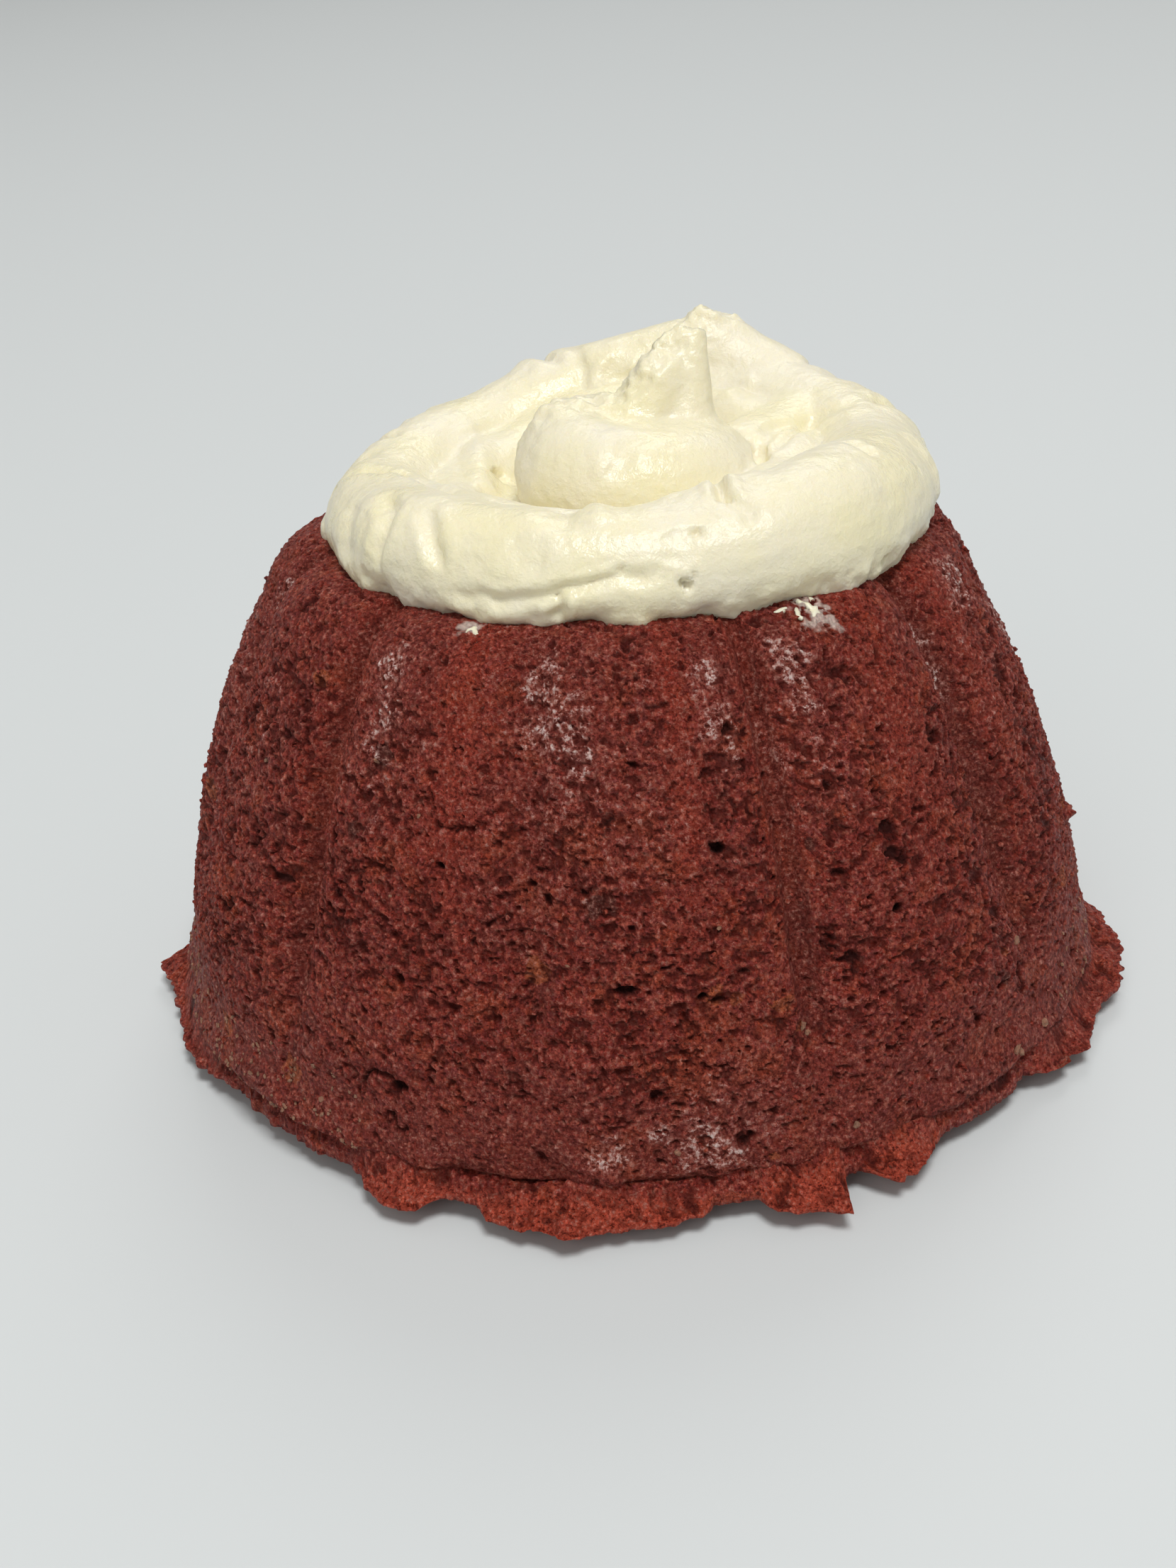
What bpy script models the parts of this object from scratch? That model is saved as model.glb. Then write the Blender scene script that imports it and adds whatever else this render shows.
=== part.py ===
"""A small red velvet bundt cake with a swirl of piped cream cheese frosting.

The cake stands as served: the side that was the pan's fluted bottom is on top, and the side that
rose above the pan is underneath, a low dome with a thin torn skirt of overflowed batter round it.
Metres, +Z up. The origin is on the cake's axis, on the surface that it stands on. The front is
-Y, with the fold of the frosting at its left, and an azimuth is in degrees from -Y towards +X.
"""

import math
import random

import bmesh
import bpy
from mathutils import Vector, noise

MM = 0.001

# The baked cake, in millimetres.
CAKE_HEIGHT = 47.8
BASE_RADIUS = 44.6  # of the fluted wall, where it meets the skirt
BASE_Z = 5.2
SHOULDER_RADIUS = 32.6  # where the wall turns over to the top
SHOULDER_Z = 44.2
WALL_BOW = 1.85  # 1 is a straight cone, more is a fuller wall
REST_RADIUS = 21.0  # the flat spot of the domed underside
DOME_RISE = 2.6
WALL_ROWS = 9
DOME_ROWS = 4

# The pan's flutes: a groove between each two lobes. The front five are as measured, in
# (azimuth, depth, half width in degrees); the third is worn almost flat.
FLUTES = 11
FRONT_GROOVES = (
    (-79, 1.6, 4.0),
    (-46.3, 1.5, 3.2),
    (-13.6, 0.5, 4.5),
    (18.7, 1.5, 3.0),
    (53.6, 1.7, 5.0),
)
BACK_GROOVE_DEPTH = 1.5
BACK_GROOVE_HALF_WIDTH = 3.6
LOBE_BOW = 0.7
FLUTES_FADE = (9, 23)  # the grooves are faint below the first height and whole above the second
STEPS_PER_FLUTE = 14

# The skirt's lobes: (azimuth, half width in degrees, reach in millimetres past the wall).
SKIRT_REACH = 1.0  # between the lobes
SKIRT_EDGE_THICKNESS = 1.4
SKIRT_LOBES = (
    (-90, 6, 3.6),
    (-69, 9, 3.0),
    (-28, 5, 4.0),
    (-11, 6, 4.8),
    (0, 5, 3.4),
    (14.5, 3.5, 5.6),
    (26, 3.5, 4.6),
    (60, 9, 3.8),
    (79, 8, 4.6),
)
BACK_LOBES = 9  # the unseen half, by the same rule with a seeded draw
BACK_FROM, BACK_TO = 98, 262

# The frosting, in millimetres. RING_ and INSIDE_ lists go round every 45 degrees from azimuth 0.
GAP = 0.45  # between the frosting and the cake under it
RING_CENTRE = (1.8, 0.2)
RING_RADII = (22.0, 22.4, 22.8, 22.8, 22.6, 22.2, 23.0, 22.6)
RING_CRESTS = (56.0, 57.4, 55.8, 57.0, 58.6, 55.2, 54.2, 55.8)
RING_THICKNESSES = (11.4, 12.6, 12.0, 12.2, 12.0, 11.4, 11.0, 11.2)
INSIDE_RADIUS = 15.5
INSIDE_CRESTS = (52.5, 54.0, 54.4, 55.6, 56.0, 53.6, 52.8, 52.4)
SWIRL_CENTRE = (2.5, -0.4)
SWIRL_RADIUS = 6.0
SWIRL_THICKNESS = 11.4
SWIRL_TOP = 57.8
SWIRL_TILT = 1.0  # higher by this on its left and lower by as much on its right
PEAK = (8.3, 4.2, 65.2, 0.7)

# The swirl's short strands, each through its own points (x, y, z, radius).
RIDGE = ((-4.4, 0.2, 57.2, 1.9), (-0.8, 2.0, 58.0, 2.6), (2.8, 2.4, 59.7, 3.1), (5.6, 3.2, 61.9, 2.3), PEAK)
CORE = ((7.4, 0.0, 54.0, 4.6), (7.8, 1.6, 57.6, 3.4), (8.0, 3.0, 61.2, 2.1), PEAK)
CROWN = ((-1.0, -0.4, 52.8, 5.0), (3.0, -1.4, 52.2, 5.4), (7.0, -0.6, 51.4, 5.0))
NUB = ((10.2, 20.8, 55.6, 5.0), (11.3, 21.4, 59.4, 3.8), (11.6, 21.6, 61.8, 1.6))
LAP = ((-21, 2, 49.8, 4.2), (-18.6, -6, 50.4, 4.6), (-12, -12.4, 50.0, 4.6), (-3, -15, 49.0, 4.0))
BRIDGE = ((21, 12, 51.0, 5.4), (17, 7, 50.4, 5.2), (12, 2, 50.2, 5.0))

FROSTING_VOXEL = 0.6
FROSTING_TRIANGLES = 5200

RED_CRUMB = (0.22, 0.045, 0.032, 1.0)
CREAM = (0.86, 0.82, 0.60, 1.0)


def smooth(low, high, value):
    """0 below low, 1 above high, and an S curve between them."""
    share = min(1.0, max(0.0, (value - low) / (high - low)))
    return share * share * (3 - 2 * share)


def on_ring(azimuth, radius, centre=(0.0, 0.0)):
    angle = math.radians(azimuth)
    return centre[0] + radius * math.sin(angle), centre[1] - radius * math.cos(angle)


def around(values, azimuth):
    """A value read from evenly spaced ones round a circle, with an S curve between neighbours."""
    place = (azimuth % 360) / 360 * len(values)
    index = int(place)
    share = smooth(0, 1, place - index)
    return values[index % len(values)] * (1 - share) + values[(index + 1) % len(values)] * share


def wall_radius(z):
    share = (z - BASE_Z) / (SHOULDER_Z - BASE_Z)
    return BASE_RADIUS - (BASE_RADIUS - SHOULDER_RADIUS) * max(0.0, share) ** WALL_BOW


def shoulder_arc(grow, count):
    """Points (radius, z) from the flat top over the round shoulder to the wall, grown outwards."""
    lean = math.atan((BASE_RADIUS - SHOULDER_RADIUS) * WALL_BOW / (SHOULDER_Z - BASE_Z))
    bend = (CAKE_HEIGHT - SHOULDER_Z) / (1 - math.sin(lean))
    centre_r = SHOULDER_RADIUS - bend * math.cos(lean)
    centre_z = CAKE_HEIGHT - bend
    points = []
    for i in range(count):
        angle = math.pi / 2 + (lean - math.pi / 2) * i / (count - 1)
        points.append((
            centre_r + (bend + grow) * math.cos(angle),
            centre_z + (bend + grow) * math.sin(angle),
        ))
    return points


def cake_profile():
    """The cake's section from the middle of its top, down its wall and under it to the axis."""
    points = [(0.0, CAKE_HEIGHT), (10.0, CAKE_HEIGHT), (19.0, CAKE_HEIGHT)]
    points += shoulder_arc(0.0, 6)
    for i in range(1, WALL_ROWS + 1):
        z = SHOULDER_Z + (BASE_Z - SHOULDER_Z) * i / WALL_ROWS
        points.append((wall_radius(z), z))
    edge_r = BASE_RADIUS + SKIRT_REACH
    edge_z = DOME_RISE + SKIRT_EDGE_THICKNESS
    points.append((BASE_RADIUS + 0.5 * SKIRT_REACH, BASE_Z - 0.4))
    points.append((BASE_RADIUS + 0.7 * SKIRT_REACH, edge_z + 0.3))
    points += [(edge_r, edge_z), (edge_r + 0.3, (edge_z + DOME_RISE) / 2), (edge_r, DOME_RISE)]
    for i in range(1, DOME_ROWS + 1):
        share = 1 - i / DOME_ROWS
        radius = REST_RADIUS + (edge_r - REST_RADIUS) * share
        points.append((radius, DOME_RISE * share ** 1.6))
    points.append((0.0, 0.0))
    return points


def turned(name, profile, steps):
    """A closed solid turned from a profile that runs down its outer side, as a mesh object."""
    mesh = bpy.data.meshes.new(name + "_profile")
    mesh.from_pydata(
        [(r * MM, 0.0, z * MM) for r, z in profile],
        [(i, i + 1) for i in range(len(profile) - 1)],
        [],
    )
    outline = bpy.data.objects.new(name + "_profile", mesh)
    bpy.context.scene.collection.objects.link(outline)
    screw = outline.modifiers.new("turn", "SCREW")
    screw.steps = screw.render_steps = steps
    screw.use_merge_vertices = True
    screw.merge_threshold = 0.00001
    screw.use_smooth_shade = True
    return as_mesh(outline, name)


def as_mesh(source, name):
    """The evaluated shape of an object as a plain mesh object of that name. The source is removed."""
    bpy.context.view_layer.update()
    graph = bpy.context.evaluated_depsgraph_get()
    mesh = bpy.data.meshes.new_from_object(source.evaluated_get(graph))
    mesh.transform(source.matrix_world)
    bpy.data.objects.remove(source)
    made = bpy.data.objects.new(name, mesh)
    mesh.name = name
    bpy.context.scene.collection.objects.link(made)
    return made


def all_grooves():
    """The front grooves, and the rest spaced evenly between the last and the first of them."""
    grooves = list(FRONT_GROOVES)
    last, first = grooves[-1][0], grooves[0][0] + 360
    more = FLUTES - len(grooves)
    for i in range(1, more + 1):
        azimuth = last + (first - last) * i / (more + 1)
        grooves.append((azimuth, BACK_GROOVE_DEPTH, BACK_GROOVE_HALF_WIDTH))
    return grooves


def flute_relief(azimuth, z, grooves):
    """How far the wall is drawn in at this place, by the grooves and the bow of the lobes."""
    relief, nearest = 0.0, 180.0
    for middle, depth, half_width in grooves:
        off = abs((azimuth - middle + 180) % 360 - 180)
        relief += depth * math.exp(-((off / half_width) ** 2))
        nearest = min(nearest, off)
    relief += LOBE_BOW * max(0.0, 1 - nearest * 2 * FLUTES / 360) ** 2
    return relief * (0.15 + 0.85 * smooth(*FLUTES_FADE, z))


def skirt_lobes():
    """All the skirt's lobes: the front ones as measured, and the back ones drawn by a seeded rule."""
    draw = random.Random(7)
    lobes = list(SKIRT_LOBES)
    for i in range(BACK_LOBES):
        azimuth = BACK_FROM + (BACK_TO - BACK_FROM) * (i + draw.uniform(0.2, 0.8)) / BACK_LOBES
        lobes.append((azimuth, draw.uniform(5, 10), draw.uniform(3.0, 6.0)))
    return lobes


def skirt_reach(azimuth, lobes):
    """How far the skirt reaches past the wall at this azimuth."""
    reach = SKIRT_REACH
    for middle, half_width, lobe_reach in lobes:
        off = abs((azimuth - middle + 180) % 360 - 180) / half_width
        reach = max(reach, SKIRT_REACH + (lobe_reach - SKIRT_REACH) * (1 - smooth(0.55, 1.35, off)))
    x, y = on_ring(azimuth, BASE_RADIUS)
    tear = noise.noise(Vector((x * 0.2, y * 0.2, 3.1)))
    return max(0.7, reach + 0.9 * tear)


def make_cake():
    """The cake as one solid: turned, then fluted, with its skirt torn to its lobes."""
    cake = turned("cake", cake_profile(), FLUTES * STEPS_PER_FLUTE)
    grooves, lobes = all_grooves(), skirt_lobes()
    for vertex in cake.data.vertices:
        x, y, z = vertex.co / MM
        radius = math.hypot(x, y)
        if radius < 1e-4:
            continue
        azimuth = math.degrees(math.atan2(x, -y))
        on_wall = smooth(15, 27, radius) * smooth(BASE_Z - 1, BASE_Z + 1.5, z)
        new_radius = radius - on_wall * flute_relief(azimuth, z, grooves)
        past_wall = radius - BASE_RADIUS
        if z < BASE_Z and past_wall > 0:
            new_radius = BASE_RADIUS + past_wall / SKIRT_REACH * skirt_reach(azimuth, lobes)
            z += 0.5 * noise.noise(Vector((azimuth * 0.2, z * 0.1, 5.0)))
        place = Vector((*on_ring(azimuth, new_radius), z))
        lump = 0.16 * on_wall * noise.noise(place * 0.22)
        place.xy *= 1 + lump / max(new_radius, 1.0)
        vertex.co = place * MM
    return cake


def rope(name, stations, closed=False):
    """A piped rope of frosting through stations (x, y, z, radius), as a closed mesh object."""
    curve = bpy.data.curves.new(name, "CURVE")
    curve.dimensions = "3D"
    curve.bevel_depth = MM
    curve.bevel_resolution = 4
    curve.use_fill_caps = not closed
    spline = curve.splines.new("POLY")
    spline.points.add(len(stations) - 1)
    for point, (x, y, z, radius) in zip(spline.points, stations):
        point.co = (x * MM, y * MM, z * MM, 1.0)
        point.radius = radius
    spline.use_cyclic_u = closed
    strand = bpy.data.objects.new(name, curve)
    bpy.context.scene.collection.objects.link(strand)
    strand = as_mesh(strand, name)
    shape = bmesh.new()
    shape.from_mesh(strand.data)
    bmesh.ops.remove_doubles(shape, verts=shape.verts, dist=0.00001)
    bmesh.ops.recalc_face_normals(shape, faces=shape.faces)
    shape.to_mesh(strand.data)
    shape.free()
    return strand


def smooth_path(keys, count):
    """Stations on a smooth curve through key stations of any number of values each."""
    keys = [Vector(k) for k in keys]
    keys = [2 * keys[0] - keys[1]] + keys + [2 * keys[-1] - keys[-2]]
    spans = len(keys) - 3
    stations = []
    for i in range(count):
        place = min(spans - 1e-6, spans * i / (count - 1))
        k, t = int(place), place % 1
        a, b, c, d = keys[k], keys[k + 1], keys[k + 2], keys[k + 3]
        bend = (2 * a - 5 * b + 4 * c - d) * t ** 2 + (3 * b - a - 3 * c + d) * t ** 3
        stations.append(tuple(b + 0.5 * ((c - a) * t + bend)))
    return stations


def ring_station(azimuth):
    """The outer ring's centre line and half thickness at this azimuth."""
    half = around(RING_THICKNESSES, azimuth) / 2
    x, y = on_ring(azimuth, around(RING_RADII, azimuth), RING_CENTRE)
    return x, y, around(RING_CRESTS, azimuth) - half, half


def frosting_ropes():
    """Every strand of the swirl: the ring with its foot, the coil in it, its ridge and its peak."""
    turn = [i * 5.0 for i in range(72)]
    ring = [ring_station(a) for a in turn]
    foot = [(*on_ring(a, around(RING_RADII, a) - 0.4, RING_CENTRE), CAKE_HEIGHT + 1.4, 4.2) for a in turn]
    inside = [
        (*on_ring(a, INSIDE_RADIUS, RING_CENTRE), around(INSIDE_CRESTS, a) - 4.6, 4.6) for a in turn
    ]
    coil = []
    for i in range(28):
        share = i / 27
        x, y = on_ring(100 - 430 * share, SWIRL_RADIUS * (1 - 0.2 * share), SWIRL_CENTRE)
        top = SWIRL_TOP - SWIRL_TILT * (x - SWIRL_CENTRE[0]) / SWIRL_RADIUS
        coil.append((x, y, top - SWIRL_THICKNESS / 2, SWIRL_THICKNESS / 2))
    floor = ((*RING_CENTRE, CAKE_HEIGHT - 2, 15.0), (*RING_CENTRE, CAKE_HEIGHT + 2.6, 15.0))
    strands = [rope("ring", ring, True), rope("foot", foot, True), rope("inside", inside, True)]
    strands += [rope("coil", coil), rope("floor", floor)]
    for keys in (RIDGE, CORE, CROWN, NUB, LAP, BRIDGE):
        strands.append(rope("strand", smooth_path(keys, 14)))
    return strands


def joined(objects, name):
    """One object that holds all of these objects' meshes."""
    whole = bmesh.new()
    for item in objects:
        whole.from_mesh(item.data)
        bpy.data.objects.remove(item)
    mesh = bpy.data.meshes.new(name)
    whole.to_mesh(mesh)
    whole.free()
    made = bpy.data.objects.new(name, mesh)
    bpy.context.scene.collection.objects.link(made)
    return made


def make_frosting():
    """The frosting as one solid: strands melted together, resting on the cake's top and shoulder."""
    frosting = joined(frosting_ropes(), "frosting_strands")
    melt = frosting.modifiers.new("melt", "REMESH")
    melt.mode = "VOXEL"
    melt.voxel_size = FROSTING_VOXEL * MM
    ease = frosting.modifiers.new("ease", "SMOOTH")
    ease.factor = 0.5
    ease.iterations = 4
    frosting = as_mesh(frosting, "frosting")

    arc = shoulder_arc(GAP, 12)
    profile = [(0.0, arc[0][1])] + arc + [(SHOULDER_RADIUS + 3, 30.0), (0.0, 30.0)]
    top_of_cake = turned("top_of_cake", profile, 90)
    top_of_cake.display_type = "WIRE"
    top_of_cake.hide_render = True
    bed = frosting.modifiers.new("bed", "BOOLEAN")
    bed.operation = "DIFFERENCE"
    bed.object = top_of_cake
    thin = frosting.modifiers.new("thin", "DECIMATE")
    triangles = sum(len(face.vertices) - 2 for face in frosting.data.polygons)
    thin.ratio = FROSTING_TRIANGLES / triangles
    return frosting, top_of_cake


def finish_of(name, colour, roughness):
    material = bpy.data.materials.new(name)
    material.use_nodes = True
    shader = material.node_tree.nodes["Principled BSDF"]
    shader.inputs["Base Color"].default_value = colour
    shader.inputs["Roughness"].default_value = roughness
    shader.inputs["Metallic"].default_value = 0.0
    return material


def put_in(collection_name, objects):
    """Move these objects into a new collection of that name."""
    collection = bpy.data.collections.new(collection_name)
    bpy.context.scene.collection.children.link(collection)
    for obj in objects:
        bpy.context.scene.collection.objects.unlink(obj)
        collection.objects.link(obj)


def main():
    for obj in list(bpy.data.objects):
        bpy.data.objects.remove(obj)
    cake = make_cake()
    frosting, top_of_cake = make_frosting()
    cake.data.materials.append(finish_of("red_velvet_crumb", RED_CRUMB, 0.75))
    frosting.data.materials.append(finish_of("cream_cheese_frosting", CREAM, 0.45))
    put_in("red_velvet_bundt_cake", (cake, frosting))
    put_in("cutters", (top_of_cake,))


main()
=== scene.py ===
# %% [markdown]
# # A small red velvet bundt cake
#
# The real thing is a cake for one person, baked in a fluted tin and turned out upside down. A
# ring of cream cheese frosting is piped on it, with a small swirl in the ring that ends in a
# peak. Two solids from the CAD model carry it all: `cake` and `frosting`. This lesson replaces
# each of them with meshes that are fine enough to hold pores, tears, folds and bubbles.
#
# Lengths are written in millimetres and turned into metres by `MM` where they meet Blender.
# An azimuth is in degrees from the front, which is -Y, towards +X.

# %% Load the frame
import itertools
import math
import random

import bmesh
import bpy
import numpy as np
from mathutils import Matrix, Vector


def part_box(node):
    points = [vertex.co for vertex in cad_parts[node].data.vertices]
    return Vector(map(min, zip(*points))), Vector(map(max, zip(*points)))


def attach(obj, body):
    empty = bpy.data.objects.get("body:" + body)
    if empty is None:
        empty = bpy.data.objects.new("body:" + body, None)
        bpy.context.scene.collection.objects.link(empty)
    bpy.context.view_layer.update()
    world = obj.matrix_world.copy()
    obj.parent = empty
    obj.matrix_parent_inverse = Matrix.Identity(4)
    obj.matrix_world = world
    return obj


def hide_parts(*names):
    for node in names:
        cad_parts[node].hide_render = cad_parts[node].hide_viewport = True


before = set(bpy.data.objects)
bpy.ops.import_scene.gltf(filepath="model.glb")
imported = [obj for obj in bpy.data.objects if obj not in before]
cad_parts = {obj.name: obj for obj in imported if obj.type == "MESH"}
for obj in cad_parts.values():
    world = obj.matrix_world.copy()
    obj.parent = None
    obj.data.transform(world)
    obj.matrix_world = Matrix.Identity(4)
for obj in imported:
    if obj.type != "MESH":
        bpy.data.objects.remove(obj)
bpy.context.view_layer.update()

MM = 0.001
CAKE_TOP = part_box("cake")[1].z / MM

# %% [markdown]
# ## The camera
#
# It stands some 13 cm in front of the cake, looks down on it at about 27 degrees and is tipped a
# little to one side. Setting the matrix from a place, a pitch and a roll is shorter than aiming
# an empty, and it can hold the roll.

# %% Camera
CAMERA_PLACE = (-3.8, -178.6, 109.4)
CAMERA_PITCH = math.radians(26.62)
CAMERA_ROLL = math.radians(-3.91)
LONG_SIDE_PIXELS = 2212
FOCAL_PIXELS = 2812


def add_object(name, data):
    """An object of this data, linked into the scene."""
    made = bpy.data.objects.new(name, data)
    bpy.context.scene.collection.objects.link(made)
    return made


camera = add_object("camera", bpy.data.cameras.new("camera"))
camera.matrix_world = (
    Matrix.Translation(Vector(CAMERA_PLACE) * MM)
    @ Matrix.Rotation(math.pi / 2 - CAMERA_PITCH, 4, "X")
    @ Matrix.Rotation(CAMERA_ROLL, 4, "Z")
)
camera.data.sensor_width = 36.0
camera.data.lens = camera.data.sensor_width * FOCAL_PIXELS / LONG_SIDE_PIXELS
camera.data.clip_start = 0.005
camera.data.clip_end = 20.0
bpy.context.scene.camera = camera
bpy.context.scene.view_settings.view_transform = "Standard"
print("lens", round(camera.data.lens, 1), "mm")

# %% [markdown]
# ## Small tools
#
# A cake has no straight lines, so nearly every shape below is a smooth form plus some noise.
# The helpers work on numpy arrays, one row for each corner of a mesh. Half a million corners
# are then moved in a few seconds, where a Python loop would take minutes.


# %% Curves and turns
def smooth(low, high, value):
    """0 below low, 1 above high, and an S curve between them."""
    share = np.clip((value - low) / (high - low), 0.0, 1.0)
    return share * share * (3 - 2 * share)


def bell(offset, width):
    """1 at offset 0, falling to nothing a few widths away."""
    return np.exp(-((offset / width) ** 2))


def turn_between(azimuth, middle):
    """The signed turn from middle to azimuth, in degrees, between -180 and 180."""
    return (azimuth - middle + 180) % 360 - 180


def on_ring(azimuth, radius, centre=(0.0, 0.0)):
    """x and y at this azimuth and radius round a centre."""
    angle = np.radians(azimuth)
    return centre[0] + radius * np.sin(angle), centre[1] - radius * np.cos(angle)


def azimuth_of(x, y):
    """The azimuth in degrees at which x and y lie, seen from the cake's middle."""
    return np.degrees(np.arctan2(x, -y))


def around(values, azimuth):
    """A value read from evenly spaced ones round a circle, with an S curve between neighbours."""
    place = np.asarray(azimuth) % 360 / 360 * len(values)
    index = np.floor(place).astype(int)
    share = smooth(0, 1, place - index)
    values = np.array(values)
    return values[index % len(values)] * (1 - share) + values[(index + 1) % len(values)] * share


def to_line(place, line):
    """Distance from each place to a line through points, and the share of the way along it."""
    points = np.array(line, dtype=float)
    nearest, share = np.full(len(place), np.inf), np.zeros(len(place))
    for i, (a, b) in enumerate(zip(points, points[1:])):
        along = np.clip((place - a) @ (b - a) / ((b - a) @ (b - a)), 0, 1)
        away = np.linalg.norm(place - a - along[:, None] * (b - a), axis=1)
        share = np.where(away < nearest, (i + along) / (len(points) - 1), share)
        nearest = np.minimum(nearest, away)
    return nearest, share


print("helpers ready")

# %% [markdown]
# Noise comes in two kinds here. `grain` is a soft random swell: a random number at each point
# of a grid, with smooth steps between. `nearest_centre` scatters one centre in each box of a grid
# and finds the nearest, which is how clods lie in a crumb. Both read one seeded table, so each
# run gives the same cake. Each takes places, a size in millimetres and a seed.

# %% Noise
TABLE_BITS = 16
PRIMES = (73856093, 19349663, 83492791)
SEED_STEP = 7919
OCTAVE_FADE = 1.7
TABLE = np.random.default_rng(11).random(1 << TABLE_BITS)


def scramble(cell):
    """A repeatable jumble of each whole-numbered cell's three numbers."""
    mixed = cell[:, 0] * PRIMES[0] ^ cell[:, 1] * PRIMES[1] ^ cell[:, 2] * PRIMES[2]
    return mixed ^ (mixed >> 13)


def draws(scrambled, seed):
    """A repeatable random number from 0 to 1 for each scrambled cell."""
    return TABLE[(scrambled ^ (seed * SEED_STEP)) & ((1 << TABLE_BITS) - 1)]


def grain(place, size, seed):
    """Noise between -1 and 1 whose lumps are about size millimetres across."""
    spot = place / size
    cell = np.floor(spot).astype(np.int64)
    share = smooth(0, 1, spot - cell)
    total = np.zeros(len(place))
    for corner in itertools.product((0, 1), repeat=3):
        weight = np.prod(np.where(corner, share, 1 - share), axis=1)
        total += weight * draws(scramble(cell + corner), seed)
    return 2 * total - 1


def rough(place, size, seed, octaves=3):
    """Grain on grain, each finer and fainter than the last."""
    total = sum(grain(place, size / 2 ** i, seed + i) / OCTAVE_FADE ** i for i in range(octaves))
    return total / sum(1 / OCTAVE_FADE ** i for i in range(octaves))


def nearest_centre(place, size, seed):
    """Distance to the nearest of many scattered centres, in sizes.

    It looks in the eight boxes round each place, which finds every centre less than half a size
    away. A centre further off doesn't matter here.
    """
    spot = place / size
    cell = np.floor(spot - 0.5).astype(np.int64)
    nearest = np.full(len(place), 9.0)
    for corner in itertools.product((0, 1), repeat=3):
        near = cell + corner
        scrambled = scramble(near)
        away = sum((near[:, i] + draws(scrambled, seed + i) - spot[:, i]) ** 2 for i in range(3))
        nearest = np.minimum(nearest, away)
    return np.sqrt(nearest)


print("noise reads a table of", len(TABLE), "random numbers")

# %% [markdown]
# Three more tools make a bmesh an object, make that a piece, and move its corners. A piece rides
# on the cake, and the solid that it stands for is hidden.


# %% Pieces
def object_from(shape, name):
    """Make a bmesh an object and let go of the bmesh."""
    mesh = bpy.data.meshes.new(name)
    shape.to_mesh(mesh)
    shape.free()
    return add_object(name, mesh)


def piece_from(shape, name, solid):
    """Make a bmesh an object that rides on the cake and stands for one of its solids."""
    piece = object_from(shape, name)
    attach(piece, "root")
    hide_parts(solid)
    return piece


def move_corners(piece, rule):
    """Move each corner by a rule that takes places and normals and gives places and marks."""
    mesh = piece.data
    places = np.empty(len(mesh.vertices) * 3, dtype=np.float32)
    normals = np.empty(len(mesh.vertices) * 3, dtype=np.float32)
    mesh.vertices.foreach_get("co", places)
    mesh.vertex_normals.foreach_get("vector", normals)
    moved, marks = rule(places.reshape(-1, 3).astype(float) / MM, normals.reshape(-1, 3))
    mesh.vertices.foreach_set("co", (moved * MM).astype(np.float32).ravel())
    for name, values in marks.items():
        mark = mesh.attributes.new(name, "FLOAT", "POINT")
        mark.data.foreach_set("value", values.astype(np.float32))
    mesh.update()


print("piece tools ready")

# %% [markdown]
# ## The form of the baked cake
#
# The tin gives the outer form: a wall that bows in towards the top, a round shoulder, and
# grooves from the tin's ridges between wide lobes. The real cake stuck a little, so one groove
# is nearly worn away and the grooves fade towards the foot. These are the same measures as the
# solid's, so the skin below lands on it. Only the grooves' flat floors are finer than the solid.

# %% Measures of the cake
BASE_RADIUS = 44.6
BASE_Z = 5.2
SHOULDER_RADIUS = 32.6
SHOULDER_Z = 44.2
WALL_BOW = 1.85
REST_RADIUS = 21.0
DOME_RISE = 2.6

FLUTES = 11
FRONT_GROOVES = (  # azimuth, depth, half width in degrees
    (-79, 1.6, 4.0),
    (-46.3, 1.5, 3.2),
    (-13.6, 0.5, 4.5),
    (18.7, 1.5, 3.0),
    (53.6, 1.7, 5.0),
)
BACK_GROOVE_DEPTH = 1.5
BACK_GROOVE_HALF_WIDTH = 3.6
GROOVE_CHANNEL = 0.55  # how much deeper the flat floor of a groove lies, in depths
CHANNEL_SIDE = (0.25, 0.7)  # from the floor to the lobe, in half widths
SKIN_SIDE = (0.3, 0.9)
LOBE_BOW = 0.7
FLUTES_FADE = (9, 23)  # the flutes are faint below the first height and whole above the second
FLUTES_LEFT = 0.15  # the share of them that is left at the foot


def wall_radius(z):
    """The tin's radius at this height, before the flutes."""
    share = (z - BASE_Z) / (SHOULDER_Z - BASE_Z)
    return BASE_RADIUS - (BASE_RADIUS - SHOULDER_RADIUS) * max(0.0, share) ** WALL_BOW


def all_grooves():
    """The front grooves as seen, and the rest spaced evenly round the back."""
    grooves = list(FRONT_GROOVES)
    last, first = grooves[-1][0], grooves[0][0] + 360
    more = FLUTES - len(grooves)
    for i in range(1, more + 1):
        azimuth = last + (first - last) * i / (more + 1)
        grooves.append((azimuth, BACK_GROOVE_DEPTH, BACK_GROOVE_HALF_WIDTH))
    return grooves


GROOVES = all_grooves()


def groove_share(azimuth):
    """1 on the floor of a groove and 0 on the lobes beside it."""
    shares = []
    for middle, depth, half_width in GROOVES:
        off = np.abs(turn_between(azimuth, middle)) / half_width
        shares.append(min(1.0, depth / BACK_GROOVE_DEPTH) * (1 - smooth(*SKIN_SIDE, off)))
    return np.max(shares, axis=0)


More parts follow.
